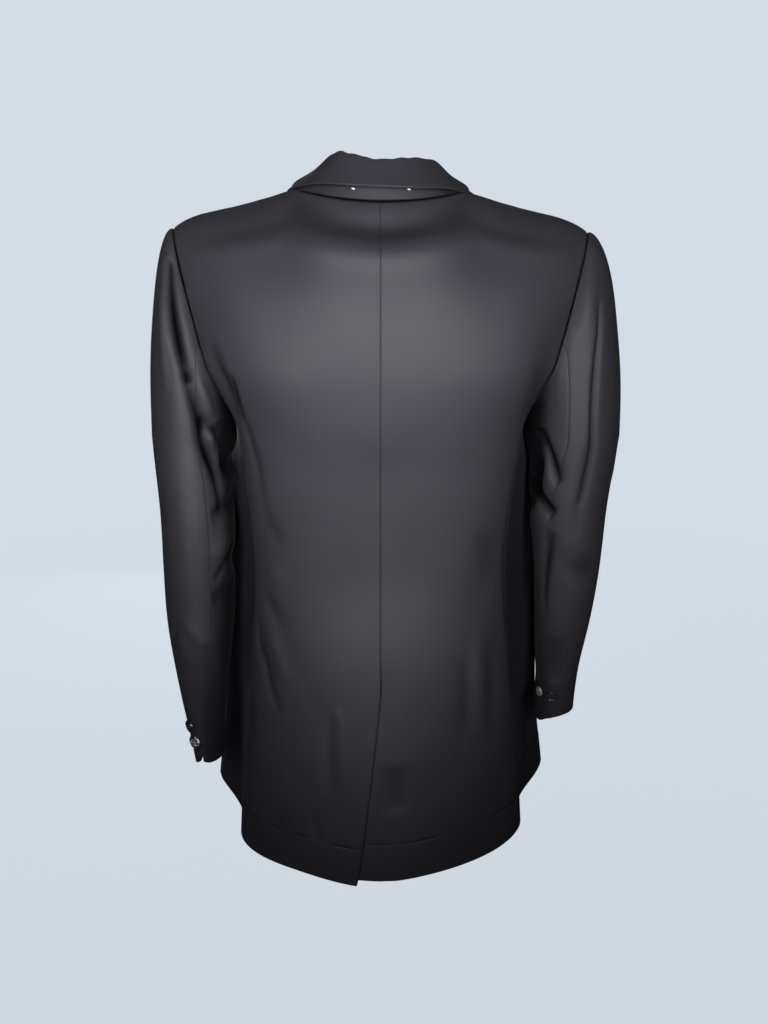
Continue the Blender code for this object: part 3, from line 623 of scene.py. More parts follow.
class Piece:
    """One cut piece as a grid of points: rows run up it, columns across it."""

    def __init__(self, name, grid, side, seams, creases=(), both_faces=False):
        """seams gives how deep the groove is along each edge that is sewn."""
        self.name, self.side, self.seams = name, side, seams
        self.both_faces = both_faces
        across, up = run_length(grid, 1), run_length(grid, 0)
        self.away = {"left": across, "right": across[:, -1:] - across,
                     "bottom": up, "top": up[-1:] - up}
        self.grid = self.laid(grid, creases)
        # Painted shade on the inner face, none unless a piece sets it
        self.shade_inside = 0 * self.fold

    def laid(self, grid, creases):
        """The plain grid with its creases, its soft unevenness and its seams laid on."""
        out = normals_of(grid, self.side)
        depth = sum((sunk_by(grid, out, *crease) for crease in creases), np.zeros(grid.shape[:2]))
        # fold is painted shade: the deeper a crease sinks the cloth, the darker it is painted
        self.fold = (np.clip(depth, 0, None) / FULL_SHADE_DEPTH) ** 1.5
        calm = np.ones(grid.shape[:2])
        for edge in self.seams:
            calm = calm * ease(self.away[edge] / CALM_WIDTH)
        depth += SWELL * uneven(grid, SWELL_SIZE) * (0.3 + 0.7 * calm)
        pucker = 1 + 0.8 * uneven(grid, PUCKER_SIZE, 1)
        for edge, groove in self.seams.items():
            away = self.away[edge]
            shade_width = SEAM_SHADE_WIDTH_AT_TOP if edge == "top" else SEAM_SHADE_WIDTH
            # Painted shade along each seam's groove.
            self.fold = np.maximum(self.fold, bell(away, shade_width) * groove / DEEP)
            depth += groove * bell(away, GROOVE_WIDTH) + PUCKER * pucker * bell(away, PUCKER_WIDTH)
        return grid - out * depth[..., None]

    def hemmed(self):
        """The turned-up hem stands a little proud, with the pull of its stitches above it."""
        above = self.away["bottom"] - HEM_DEPTH
        pull = 0.5 + 0.5 * uneven(self.grid, STITCH_SIZE, 2)
        rise = HEM_STEP * (1 - ease(above / HEM_STEP_WIDTH + 0.5))
        rise -= STITCH_PULL * pull ** 2 * bell(above - STITCH_ABOVE, STITCH_PULL_WIDTH)
        # Painted shade along the stitches' pull.
        stitch_shade = STITCH_SHADE * pull * bell(above - STITCH_ABOVE, STITCH_SHADE_WIDTH)
        self.fold = np.maximum(self.fold, stitch_shade)
        self.grid = self.grid + normals_of(self.grid, self.side) * rise[..., None]
        return self

    def with_turnings(self):
        """The grid with each seam's edge turned in, so that neighbours meet in a soft groove."""
        grid = self.grid
        out = normals_of(grid, self.side)
        for edge in ("left", "right", "bottom", "top"):
            if edge not in self.seams:
                continue
            axis = 1 if edge in ("left", "right") else 0
            first = 0 if edge in ("left", "bottom") else -1
            rim, way = grid.take(first, axis), out.take(first, axis)
            past = unit(rim - grid.take(1 if first == 0 else -2, axis))
            strips = [np.expand_dims(rim - way * deep + past * over, axis)
                      for deep, over in TURN_IN]
            strips_out = [np.expand_dims(unit(way + past), axis)] * len(TURN_IN)
            if first == 0:
                grid = np.concatenate([*strips[::-1], grid], axis)
                out = np.concatenate([*strips_out, out], axis)
            else:
                grid = np.concatenate([grid, *strips], axis)
                out = np.concatenate([out, *strips_out], axis)
        return grid

    def shell(self, grid, wall):
        """Points and faces of a wall round the grid, and the grid's points along its rim."""
        out = normals_of(grid, self.side)
        high, wide = grid.shape[:2]
        outer, inner = settled(grid + out * wall / 2), settled(grid - out * wall / 2)
        number = np.arange(high * wide).reshape(high, wide)
        loop = np.concatenate([number[0], number[1:, -1], number[-1, -2::-1], number[-2:0:-1, 0]])
        inside = np.concatenate([number[1], number[1:, -2], number[-2, -2::-1], number[-2:0:-1, 1]])
        flat = settled(grid).reshape(-1, 3)
        rim = flat[loop] + unit(flat[loop] - flat[inside]) * wall * RIM_REACH
        points = np.concatenate([outer.reshape(-1, 3), inner.reshape(-1, 3), rim])
        a, b = number[:-1, :-1].ravel(), number[:-1, 1:].ravel()
        c, d = number[1:, 1:].ravel(), number[1:, :-1].ravel()
        face = np.stack([a, b, c, d], 1)
        if self.side < 0:
            face = face[:, ::-1]
        back = face[:, ::-1] + high * wide
        here, on = np.arange(len(loop)), np.roll(np.arange(len(loop)), -1)
        first = 2 * high * wide
        top = np.stack([loop, loop[on], first + on, first + here], 1)
        low = np.stack([first + here, first + on, loop[on] + high * wide, loop + high * wide], 1)
        if self.side > 0:
            top, low = top[:, ::-1], low[:, ::-1]
        return points, (face, back, top, low), loop

    def made(self, wall=CLOTH_WALL):
        """The mesh, with its fold value of painted shade, its flat coordinates and its two sides'
        cloth.
        """
        turned = [(2 * (low in self.seams), 2 * (high in self.seams))
                  for low, high in (("bottom", "top"), ("left", "right"))]
        fold = np.pad(np.clip(self.fold, 0, 1), turned, constant_values=TURNED_SHADE).ravel()
        shade_inside = np.pad(self.shade_inside, turned).ravel()
        grid = self.with_turnings()
        points, faces, loop = self.shell(grid, wall)
        mesh = bpy.data.meshes.new(self.name)
        mesh.from_pydata(points.tolist(), [], np.concatenate(faces).tolist())
        shade_layer = mesh.attributes.new("fold", "FLOAT", "POINT")
        shade_layer.data.foreach_set("value", np.concatenate([fold, shade_inside, fold[loop]]))
        across, up = run_length(grid, 1), run_length(grid, 0)
        spots = np.stack([across - across[:, -1:] / 2, up.mean(1, keepdims=True) + 0 * up], -1)
        spots = spots.reshape(-1, 2)
        spots = np.concatenate([spots, spots, spots[loop]])
        corners = np.empty(len(mesh.loops), int)
        mesh.loops.foreach_get("vertex_index", corners)
        layer = mesh.uv_layers.new(name="cloth")
        layer.data.foreach_set("uv", spots[corners].ravel())
        mesh.materials.append(SATIN)
        mesh.materials.append(SATIN if self.both_faces else SATIN_BACK)
        slots = np.concatenate([np.full(len(part), part is faces[1], int) for part in faces])
        mesh.polygons.foreach_set("material_index", slots)
        mesh.shade_smooth()
        return placed(self.name, mesh)


def widths(function, rows, places=9):
    """How wide a panel is at each of its rows."""
    rough = function(np.linspace(0, 1, places)[None], rows[:, None])
    return np.linalg.norm(np.diff(rough, axis=1), axis=-1).sum(1)


def panel_grid(function, hand, rows, start=0.0):
    """Points of a body panel; start is where its first edge runs, row by row."""
    start = start + 0 * rows
    shares = crowded(widths(function, rows) * (1 - start), SPACING)
    across = start[:, None] + (1 - start)[:, None] * shares
    return handed(function(across, rows[:, None]), hand)


def panel_rows(top):
    ends = (True, top <= CHEST_ROW)
    low = crowded(BODY_LENGTH, SPACING, ends)[0] * CHEST_ROW
    low = np.concatenate([low[low < HEM_ROWS[0] - 0.02], HEM_ROWS, low[low > HEM_ROWS[-1] + 0.02]])
    if top <= CHEST_ROW:
        return low
    high = CHEST_ROW + crowded(YOKE_LENGTH, SPACING, (False, True))[0][1:]
    return np.concatenate([low, high])


def relaxed(grid, along, across, rounds=60):
    """The grid with its sudden bends softened, along rows and columns, by these shares."""
    grid = grid.copy()
    for _ in range(rounds):
        bend = (grid[2:] + grid[:-2]) / 2 - grid[1:-1]
        grid[1:-1] += bend * along[1:-1, :, None] / 2
        bend = (grid[:, 2:] + grid[:, :-2]) / 2 - grid[:, 1:-1]
        grid[:, 1:-1] += bend * across[:, 1:-1, None] / 2
    return grid


def from_chest(rows):
    """Distance above the chest row, in metres."""
    past = np.asarray(rows) - CHEST_ROW
    return np.where(past < 0, past * ROW_LENGTH, past * YOKE_LENGTH)


def eased_chest(grid, rows, neck_at=None):
    """Softens the bend across the chest, and the one that runs down from the neck's corner."""
    seam = ease(run_length(grid[:, ::-1], 1)[:, ::-1] / CALM_WIDTH)
    along = ease(1.4 * (1 - np.abs(from_chest(rows)) / CHEST_BEND))[:, None] * seam
    across = np.zeros(grid.shape[:2])
    if neck_at is not None:
        shares = run_length(grid, 1)
        shares = shares / shares[:, -1:]
        across = (ease(1.5 * (1 - np.abs(shares - neck_at) / NECK_BEND))
                  * (ease((rows - 5.9) / 0.3) * ease((SHOULDER_ROW - rows) / 0.12))[:, None])
    return relaxed(grid, along, across)


def back_grid(hand):
    """The vent opens below VENT_TOP: the left flap is cut back, the right runs on under it."""
    rows = panel_rows(SHOULDER_ROW)
    if hand == "right":
        start = -UNDERLAP * ease((VENT_TOP - rows) / 0.5)
    else:
        opened = np.maximum(0.0, 1 - rows / VENT_TOP)
        start = VENT_OPENING * opened
    grid = eased_chest(panel_grid(plain_back, hand, rows, start), rows, BACK_NECK_AT)
    if hand == "right":
        under = ease((VENT_TOP + 0.4 - rows) / 0.4)[:, None]
        grid[..., 1] -= LAP_DROP * under * ease(1 + grid[..., 0] / 0.02)
    else:
        grid[..., 2] -= VENT_CORNER_DROP * opened[:, None] ** 3 * ease(1 - grid[..., 0] / 0.10)
    return grid


def front_surface(hand, across, row):
    """The left front sinks at its edge, where the right front laps over it."""
    points = plain_front(across, row)
    if hand == "right":
        return mirrored(points)
    step = step_of(np.asarray(row, float))
    crossing = ease((CROSSING_TOP_STEP - step) / 3) * ease((step - BREAK_STEP + 3) / 3)
    drop = LAP_DROP + LAPEL_LIFT * crossing
    points[..., 1] += drop * ease((LAP_START - points[..., 0]) / (LAP_START - LAP_FULL))
    return points


def front_grid(hand):
    rows = panel_rows(SHOULDER_ROW)
    shares = crowded(widths(plain_front, rows), SPACING)
    return eased_chest(front_surface(hand, shares, rows[:, None]), rows)


def front_normal(hand, across, row, size=0.01):
    """The way out of a front, forward or up."""
    low, high = np.maximum(across - size, 0), np.minimum(across + size, 1)
    wide = front_surface(hand, high, row) - front_surface(hand, low, row)
    tall = (front_surface(hand, across, np.minimum(row + size, SHOULDER_ROW))
            - front_surface(hand, across, row - size))
    out = unit(np.cross(wide, tall))
    forward = (out[..., 1:2] < 0) | (out[..., 2:3] > 0.5)
    return np.where(forward, out, -out)


def break_roll(hand, row):
    """The front's edge on the break line, the way past it and the way out of it."""
    edge = front_surface(hand, 0.0, row)
    past = unit(edge - front_surface(hand, 0.1, row))
    return edge, past, front_normal(hand, 0.0, row)


def front_width(row):
    ends = plain_front(np.array((0.0, 1.0)), row)
    return float(np.linalg.norm(ends[1] - ends[0]))


# Round the lapel's roll: shares of ROLL past the break line and of LAPEL_LIFT out of the front
LAPEL_ROLL = ((0.2, 0.05), (0.75, 0.16), (1.0, 0.42), (0.92, 0.72), (0.5, 0.96))
LAPEL_LENGTH = 0.30


def lapel_grid(hand):
    """Turned back along the break line, up to the gorge, widest at its tip."""
    shares = np.linspace(0, 1, 30)[1:] ** 0.9
    rows = []
    run = GORGE_STEP - BREAK_STEP
    for step in BREAK_STEP + run * crowded(LAPEL_LENGTH, SPACING)[0]:
        up = (step - BREAK_STEP + 0.3) / (run + 0.3)
        width = LAPEL_WIDTH * (up ** 0.8 + 0.05 * math.sin(math.pi * up))
        row = float(row_of(step))
        edge, past, out = break_roll(hand, row)
        line = [edge + past * ROLL * reach + out * LAPEL_LIFT * lift for reach, lift in LAPEL_ROLL]
        at = row_of(step - GORGE_SLANT * shares * up ** 6)
        lift = LAPEL_LIFT * (1.04 + 0.25 * np.sin(math.pi * shares) - 0.30 * shares ** 3)
        across = width / front_width(row) * shares
        line += list(front_surface(hand, across, at)
                     + front_normal(hand, across, at) * lift[:, None])
        rows.append(line)
    return np.array(rows)


# The stand's raw edge runs down and in behind the neck seam; higher up the stand is hollow.
RAW_EDGE_DOWN = 0.0050
RAW_EDGE_IN = 0.0040
STAND_FOOT_IN = 0.0010
STAND_HOLLOW = 0.0006
STAND_MIDDLE = 0.55
NECK_SEAM_IN = 0.0009
# Places of a collar path: foot of the stand, crest of the fold, and the fall's edge
FOOT = 1
CREST = 4
EDGE = 7


def collar_path(seam, fold, fall, edge, turning=1.0):
    """Across the collar: out of the neck seam, up the stand, over the roll, down the fall."""
    up = unit(fold - (seam + edge) / 2)
    out = edge - seam
    out = unit(out - up * np.dot(out, up))
    return np.array([
        seam - (up * RAW_EDGE_DOWN + out * RAW_EDGE_IN) * turning,
        seam - out * STAND_FOOT_IN * turning,
        seam + (fold - seam) * STAND_MIDDLE - out * STAND_HOLLOW,
        fold - out * COLLAR_ROLL - up * COLLAR_ROLL,
        fold,
        fold + out * COLLAR_ROLL - up * COLLAR_ROLL,
        fall,
        edge,
    ])


def collar_back(at):
    """A section from the table; at is 0 at the centre back and 1 at the shoulder."""
    s = CollarSection(*spline(COLLAR, at * (len(COLLAR) - 1)))
    fold, edge = np.array((s.fold_x, s.fold_y, s.fold_z)), np.array((s.edge_x, s.edge_y, s.edge_z))
    neck = neck_and_shoulder(at / 2)
    seam = neck + unit(fold - neck) * NECK_GAP * 0.3
    seam = seam - unit(edge - neck) * np.array((NECK_SEAM_IN, NECK_SEAM_IN, 0))
    return collar_path(seam, fold, fold + (edge - fold) * FALL_MIDDLE, edge)


def collar_front(at):
    """A section that lies on the front; at is 0 at the shoulder and 1 at the notch."""
    step = TOP_STEP - (TOP_STEP - GORGE_STEP - 0.12) * at
    row = float(row_of(step))
    edge, past, out = break_roll("right", row)
    seam = edge + past * ROLL
    crest = edge + past * ROLL * 0.8 + out * LAPEL_LIFT * 0.8
    fold = crest + unit(crest - seam) * (COLLAR_ROLL + STAND_AT_SHOULDER * (1 - at) ** 1.5)
    wide = COLLAR_WIDTH_AT_SHOULDER + (COLLAR_WIDTH_AT_NOTCH - COLLAR_WIDTH_AT_SHOULDER) * ease(at)
    width = wide / front_width(row)
    slant = GORGE_SLANT * wide / LAPEL_WIDTH * at ** 3
    ends = []
    for share, down in ((FALL_MIDDLE, slant * FALL_MIDDLE), (1, slant - NOTCH * at ** 3)):
        across, low = np.array(width * share), float(row_of(step - down))
        ends.append(front_surface("right", across, low)
                    + front_normal("right", across, low) * COLLAR_ON_FRONT)
    return mirrored(collar_path(seam, fold, ends[0], ends[1], 1 - 0.8 * ease(at * 3)))


# Paths from the centre back to the shoulder, and past it along the front
BACK_PATHS = 44
FRONT_COLLAR = 0.13
PATH_SPACING = 0.0032


def rippled(across, ripples):
    return sum(r.rise * bell(across - r.x, r.width) for r in ripples)


def collar_paths():
    """Paths from notch to notch, rippled, sloping and lying on the shoulders behind."""
    half = [collar_back(a) for a in np.linspace(0, 1, BACK_PATHS)]
    half += [collar_front(a) for a in crowded(FRONT_COLLAR, PATH_SPACING, (False, True))[0][1:]]
    half = np.array(half)
    paths = np.concatenate([mirrored(half)[:0:-1], half])
    fold, edge = paths[:, CREST], paths[:, EDGE]
    behind = ease((fold[:, 1] + 0.015) / 0.03)
    lies = ease((abs(edge[:, 0]) - 0.066) / 0.018) * ease((edge[:, 1] + 0.040) / 0.020)
    slope = COLLAR_SLOPE * fold[:, 0] - COLLAR_DROP
    for rise, shares in ((rippled(fold[:, 0], COLLAR_RIPPLES) * behind, RIPPLE_SHARES),
                         (slope * behind, SLOPING_SHARES), (-COLLAR_LYING * lies, LYING_SHARES)):
        paths[..., 2] += rise[:, None] * np.array(shares)
    return paths, behind


# The stand is set in from just below the fall's edge, and is painted in shade above it and at its
# foot. Places across
# the collar: how the rows lie from the foot up to BESIDE_EDGE below the edge's level
SET_IN = 0.0030
SET_IN_WIDTH = 0.07
BESIDE_EDGE = 0.12
STAND_ROWS = np.array((0, 0.12, 0.24, 0.36, 0.50, 0.66, 0.83))
STAND_SHADE = 0.16
STAND_SHADE_AT_END = 0.40


def collar_grid():
    """Stand and fall in one folded piece, with the stand's shade."""
    paths, behind = collar_paths()
    foot, fold, edge = paths[:, FOOT], paths[:, CREST], paths[:, EDGE]
    up = unit(fold - (foot + edge) / 2)
    out = edge - foot
    high = out[:, 2] / (fold - foot)[:, 2]
    out = unit(out - up * np.einsum("nk,nk->n", out, up)[:, None])
    level = FOOT + np.clip(high / STAND_MIDDLE, 0.3, 0.85)
    at = np.array([np.concatenate([
        np.linspace(0, FOOT, 6)[:-1],
        FOOT + (mid - FOOT - BESIDE_EDGE) * STAND_ROWS,
        np.linspace(mid - BESIDE_EDGE, mid + BESIDE_EDGE, 11)[:-1],
        np.linspace(mid + BESIDE_EDGE, CREST - 1, 8)[:-1],
        np.linspace(CREST - 1, CREST + 1, 17)[:-1],
        np.linspace(CREST + 1, EDGE, 26)]) for mid in level])
    grid = np.array([spline(path, places) for path, places in zip(paths, at)])
    under = (at - level[:, None] + 0.02) / SET_IN_WIDTH
    set_in = ease(under) * (1 - ease((at - 2) / 0.9)) * behind[:, None]
    grid -= SET_IN * set_in[..., None] * out[:, None]
    at_end = STAND_SHADE_AT_END * ease((-0.035 - fold[:, :1]) / 0.03)
    shade = np.maximum(ease(under + 0.5), STAND_SHADE + at_end)
    seam_shade = 1 - ease((at - FOOT - 0.06) / 0.05)
    shade = np.maximum(shade * (at < CREST - 1), seam_shade) * behind[:, None]
    place = np.arange(len(grid))
    calm = ease((np.minimum(place, place[::-1]) - 8) / 8)[:, None] * np.ones(grid.shape[1])
    grid = relaxed(grid, calm, 0 * calm, 24)
    waves = rippled(fold[:, 0], COLLAR_WAVES) * behind
    shares = spline([(share,) for share in RIPPLE_SHARES], at[0])[:, 0]
    grid[..., 2] += waves[:, None] * shares
    return grid, shade


# Shade of the arm's crook, full where it lies against the body, and of the forearm behind.
# In degrees: where the crook's shade starts to fade, over how much at the biceps and how much
# more at the wrist, and where all shade ends in front.
CROOK_SHADE = 0.92
CROOK_FROM = -62
CROOK_FADES = 24
CROOK_FADES_LOW = 38
FOREARM_SHADE = 0.34
FOREARM_FROM = 15
FOREARM_FADES = 35
SHADE_ENDS = -124


def crook_shade(angles, rows):
    fades = (CROOK_FADES + CROOK_FADES_LOW * ease((rows - 1.8) / 2.5))[:, None]
    crook = CROOK_SHADE * ease(rows / 0.4)[:, None] * (1 - ease((angles - CROOK_FROM) / fades))
    behind = 1 - ease((angles - FOREARM_FROM) / FOREARM_FADES)
    # Painted shade down the back of the forearm
    painted_forearm_shade = FOREARM_SHADE * ease((rows - 3.6) / 1.4)[:, None] * behind
    return np.maximum(crook, painted_forearm_shade) * ease((angles - SHADE_ENDS) / 22)


def sleeve_grid(hand, rows, first, last):
    """A sleeve's panel between two angles on each row, with its shade."""
    sleeve = SLEEVES[hand]

    def around(share):
        return first[:, None] + (last - first)[:, None] * share

    def plain(share, row):
        return plain_sleeve(sleeve.sections, around(share), row)

    shares = crowded(widths(plain, rows, 17), SLEEVE_SPACING)
    points = plain(shares, rows[:, None])
    angles = around(shares)
    angles = np.where(angles > FOREARM, angles - 360, angles)
    near_cuff = ease((rows - HEM_FROM_ROW) / (CUFF_ROW - HEM_FROM_ROW))[:, None]
    points[..., 2] += near_cuff * np.interp(angles, *sleeve.hem)
    return handed(points, hand), crook_shade(angles, rows)


def sleeve_grids(hand):
    """A top and an under sleeve, parted along the hindarm and the forearm, open at the cuff."""
    sleeve = SLEEVES[hand]
    low = crowded(SLEEVE_LENGTH, SLEEVE_SPACING, (False, True))[0] * (CUFF_ROW - 1) + 1
    high = crowded(HEAD_LENGTH, SLEEVE_SPACING, (True, False))[0]
    rows = np.concatenate([high[:-1], low])
    opened = np.clip((rows - CUFF_VENT_ROW) / (NOTCH_ROW - CUFF_VENT_ROW), 0, 1) ** 1.5
    start = HINDARM + sleeve.vent_spread * opened
    end = 360 + start
    start = start + sleeve.corner * np.maximum(0.0, rows - NOTCH_ROW) / (CUFF_ROW - NOTCH_ROW)
    fore = FOREARM + 0 * rows
    return sleeve_grid(hand, rows, start, fore), sleeve_grid(hand, rows, fore, end)


class Number:
    """A number or colour on its way through a material's nodes; + and * add Math nodes."""

    def __init__(self, paint, socket):
        self.paint, self.socket = paint, socket

    def math(self, operation, other):
        return self.paint.node("ShaderNodeMath", {"operation": operation}, {0: self, 1: other})

    def __add__(self, other):
        return self.math("ADD", other)

    def __mul__(self, other):
        return self.math("MULTIPLY", other)

    __radd__ = __add__
    __rmul__ = __mul__


class Paint:
    """A material under way: node() adds one node and gives the number or colour it puts out."""

    def __init__(self, name):
        self.material = bpy.data.materials.new(name)
        self.material.use_nodes = True
        self.tree = self.material.node_tree
        self.tree.nodes.clear()

    def node(self, kind, settings=None, values=None, output=0):
        made = self.tree.nodes.new(kind)
        for key, value in (settings or {}).items():
            setattr(made, key, value)
        for key, value in (values or {}).items():
            if isinstance(value, Number):
                self.tree.links.new(value.socket, made.inputs[key])
            else:
                made.inputs[key].default_value = value
        return Number(self, made.outputs[output]) if made.outputs else None

    def mixed(self, share, first, second):
        first = first if isinstance(first, Number) else (*first, 1)
        values = {0: share, 6: first, 7: (*second, 1)}
        return self.node("ShaderNodeMix", {"data_type": "RGBA"}, values, 2)

    def noise(self, place, scale, detail, rough=0.5):
        values = {"Vector": place, "Scale": scale, "Detail": detail, "Roughness": rough}
        return self.node("ShaderNodeTexNoise", None, values)

    def stretched(self, place, across, along):
        values = {"Vector": place, "Scale": (across, along, 1)}
        return self.node("ShaderNodeMapping", None, values)

    def place(self):
        """The object's own coordinates."""
        return self.node("ShaderNodeTexCoord", None, None, 3)

    def bump(self, strength, distance, height):
        values = {"Strength": strength, "Distance": distance, "Height": height}
        return self.node("ShaderNodeBump", None, values)

    def surface(self, values):
        return self.finished(self.node("ShaderNodeBsdfPrincipled", None, values))

    def finished(self, shader):
        self.node("ShaderNodeOutputMaterial", None, {"Surface": shader})
        return self.material


# Colour and metal of the painted shade in folds and seams
SHADE_COLOUR = (0.002, 0.002, 0.0025)
NO_GLOSS = 0.95


def satin(name, dark, light, rough, sheen, specular):
    """Smooth floats over a fine ground, with shade painted in folds and seams: near black, and
    black metal has no gloss.
    """
    paint = Paint(name)
    flat = paint.node("ShaderNodeUVMap", {"uv_map": "cloth"})
    clouds = paint.noise(paint.stretched(flat, 1.0, 0.7), 26.0, 3.0)
    streaks = paint.noise(paint.stretched(flat, 900.0, 55.0), 1.0, 2.0, 0.6)
    threads = paint.noise(paint.stretched(flat, 2600.0, 700.0), 1.0, 1.0)
    slubs = paint.noise(paint.stretched(flat, 60.0, 420.0), 1.0, 1.0)
    weave = streaks * 0.5 + threads * 0.6 + slubs * 0.5
    # The fold attribute holds the painted shade.
    fold = paint.node("ShaderNodeAttribute", {"attribute_name": "fold"}, None, 2)
    colour = paint.mixed(clouds * 0.7 + streaks * 0.3, dark, light)
    return paint.surface({
        "Base Color": paint.mixed(fold, colour, SHADE_COLOUR),
        "Metallic": fold * NO_GLOSS,
        "Roughness": fold * 0.20 + clouds * 0.10 + streaks * 0.05 + (rough - 0.075),
        "Specular IOR Level": specular,
        "Sheen Weight": sheen,
        "Sheen Roughness": 0.5,
        "Sheen Tint": (0.86, 0.87, 0.95, 1),
        "Normal": paint.bump(0.22, 0.00022, weave),
    })


def horn(name, colour, rough, coat):
    """Polished, with faint clouds and fine turning marks."""
    paint = Paint(name)
    place = paint.place()
    clouds = paint.noise(place, 260.0, 3.0)
    scratches = paint.noise(place, 2400.0, 2.0)
    lighter = tuple(min(1.0, part * 1.8 + 0.004) for part in colour)
    return paint.surface({
        "Base Color": paint.mixed(clouds, colour, lighter),
        "Roughness": clouds * 0.08 + (rough - 0.04),
        "Coat Weight": coat,
        "Coat Roughness": 0.08,
        "Normal": paint.bump(0.08, 0.0002, scratches),
    })


def bright_metal(name, colour):
    paint = Paint(name)
    tarnish = paint.noise(paint.place(), 700.0, 3.0)
    return paint.surface({
        "Base Color": paint.mixed(tarnish, colour, tuple(part * 0.55 for part in colour)),
        "Metallic": 1.0,
        "Roughness": tarnish * 0.16 + 0.20,
    })


def twisted_thread(name, colour):
    paint = Paint(name)
    plies = paint.noise(paint.place(), 3200.0, 1.0)
    return paint.surface({
        "Base Color": paint.mixed(plies, colour, tuple(part * 0.6 for part in colour)),
        "Roughness": plies * 0.2 + 0.55,
        "Sheen Weight": 0.3,
    })


SATIN = satin("black_satin", (0.0185, 0.0178, 0.0212), (0.0250, 0.0241, 0.0284), 0.58, 0.02, 0.25)
SATIN_BACK = satin("black_satin_wrong_side", (0.013, 0.013, 0.015), (0.020, 0.020, 0.022),
                   0.75, 0.15, 0.35)
DARK_BUTTON = horn("dark_horn", (0.012, 0.012, 0.015), 0.22, 0.6)
GREY_BUTTON = horn("grey_shell", (0.09, 0.095, 0.10), 0.20, 0.6)
METAL_BUTTON = bright_metal("bright_metal", (0.80, 0.80, 0.82))
BLACK_THREAD = twisted_thread("black_thread", (0.02, 0.02, 0.024))
PALE_THREAD = twisted_thread("pale_thread", (0.92, 0.91, 0.90))

# The cut of each piece of cloth, laid flat: what shows of it, without turnings and facings.
Cut = namedtuple("Cut", "width length area held")
BODY_CREASES = creases_on("back_left", "back_right", "front_right", "front_left", "side_left",
                          "side_right")
# Shade of a side panel, hidden behind the back and the sleeve; it fades forward and at the hem
SIDE_SHADE = 0.45
SIDE_SHADE_ROW = 1.2


def dressed(made, node):
    """Hands a finished piece to the frame in place of its plain solid."""
    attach(made, "root")
    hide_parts(node)


def dressed_cloth(made, node):
    dressed(made, node)


def hand_sign(hand):
    return 1 if hand == "left" else -1


def back(hand):
    piece = Piece("back_%s_cloth" % hand, back_grid(hand), -hand_sign(hand),
                  {"left": PRESSED, "right": DEEP, "top": DEEP}, BODY_CREASES)
    dressed_cloth(piece.hemmed().made(), "back_" + hand)


def side(hand):
    rows = panel_rows(CHEST_ROW)
    grid = panel_grid(plain_side, hand, rows)
    piece = Piece("side_%s_cloth" % hand, grid, -hand_sign(hand),
                  {"left": PRESSED, "right": PRESSED, "top": DEEP}, BODY_CREASES)
    behind = 1 - ease(np.linspace(0, 1, grid.shape[1]) * 2 - 1)
    hidden = SIDE_SHADE * behind * ease(rows[:, None] / SIDE_SHADE_ROW - 1)
    piece.fold = np.maximum(piece.fold, hidden)
    dressed_cloth(piece.hemmed().made(), "side_" + hand)


def front(hand):
    piece = Piece("front_%s_cloth" % hand, front_grid(hand), hand_sign(hand),
                  {"right": DEEP, "top": PRESSED}, BODY_CREASES)
    dressed_cloth(piece.hemmed().made(), "front_" + hand)


def lapel(hand):
    piece = Piece("lapel_%s_cloth" % hand, lapel_grid(hand), hand_sign(hand), {}, (), True)
    dressed_cloth(piece.made(DOUBLE_WALL), "lapel_" + hand)


def collar():
    """Its stand shows the inner face of the folded piece, so the shade goes there."""
    grid, shade = collar_grid()
    piece = Piece("collar_cloth", grid, -1, {}, (), True)
    piece.shade_inside = np.clip(shade, 0, 1)
    dressed_cloth(piece.made(DOUBLE_WALL), "collar")


def sleeve(hand):
    creases = creases_on("sleeve_" + hand)
    for name, (grid, crook) in zip(("sleeve_top", "sleeve_under"), sleeve_grids(hand)):
        piece = Piece("%s_%s_cloth" % (name, hand), grid, hand_sign(hand),
                      {"left": PRESSED, "right": PRESSED, "bottom": DEEP}, creases)
        piece.fold = np.maximum(piece.fold, crook)
        dressed_cloth(piece.made(), "%s_%s" % (name, hand))


# The buttons' faces have this many rings and sides. Behind the face a profile runs round the rim
# to the flat back, in shares of radius and thickness.
FACE_RINGS = 26
BUTTON_SIDES = 72
BUTTON_RIM = ((1.035, 0.10), (1.05, -0.12), (1.03, -0.32), (0.94, -0.48), (0.45, -0.52))
BUTTON_BACK = -0.52
HOLES_AT = 0.24


def turned_button(name, place, out, turn, radius, thickness, height, finish):
    """A disc turned from a profile; height gives its face's relief at each place."""
    shares = np.linspace(0.0, 1.0, FACE_RINGS) ** 0.8
    angles = np.arange(BUTTON_SIDES) * 2 * math.pi / BUTTON_SIDES
    rings = [(share, height(np.full(BUTTON_SIDES, share), angles)) for share in shares]
    rings += [(reach, np.full(BUTTON_SIDES, drop)) for reach, drop in BUTTON_RIM]
    points = [np.stack([reach * radius * np.cos(angles), reach * radius * np.sin(angles),
                        rise * thickness], -1) for reach, rise in rings]
    points = np.concatenate(points + [np.array([[0, 0, BUTTON_BACK * thickness]])])
    here = np.arange(BUTTON_SIDES)
    on = (here + 1) % BUTTON_SIDES
    last = (len(rings) - 1) * BUTTON_SIDES
    faces = [face for low in range(0, last, BUTTON_SIDES)
             for face in np.stack([here, here + BUTTON_SIDES, on + BUTTON_SIDES, on], 1) + low]
    faces = np.array(faces).tolist()
    faces += [(last + i, last + BUTTON_SIDES, last + (i + 1) % BUTTON_SIDES) for i in here.tolist()]
    up = unit(np.array(out, float))
    first = unit(np.cross(up, (0.31, 0.2, 0.93)))
    x = first * math.cos(turn) + np.cross(up, first) * math.sin(turn)
    y = np.cross(up, x)
    mesh = bpy.data.meshes.new(name)
    mesh.from_pydata((place + points @ np.array((x, y, up))).tolist(), [], faces)
    mesh.materials.append(finish)
    mesh.shade_smooth()
    return placed(name, mesh), (x, y, up)


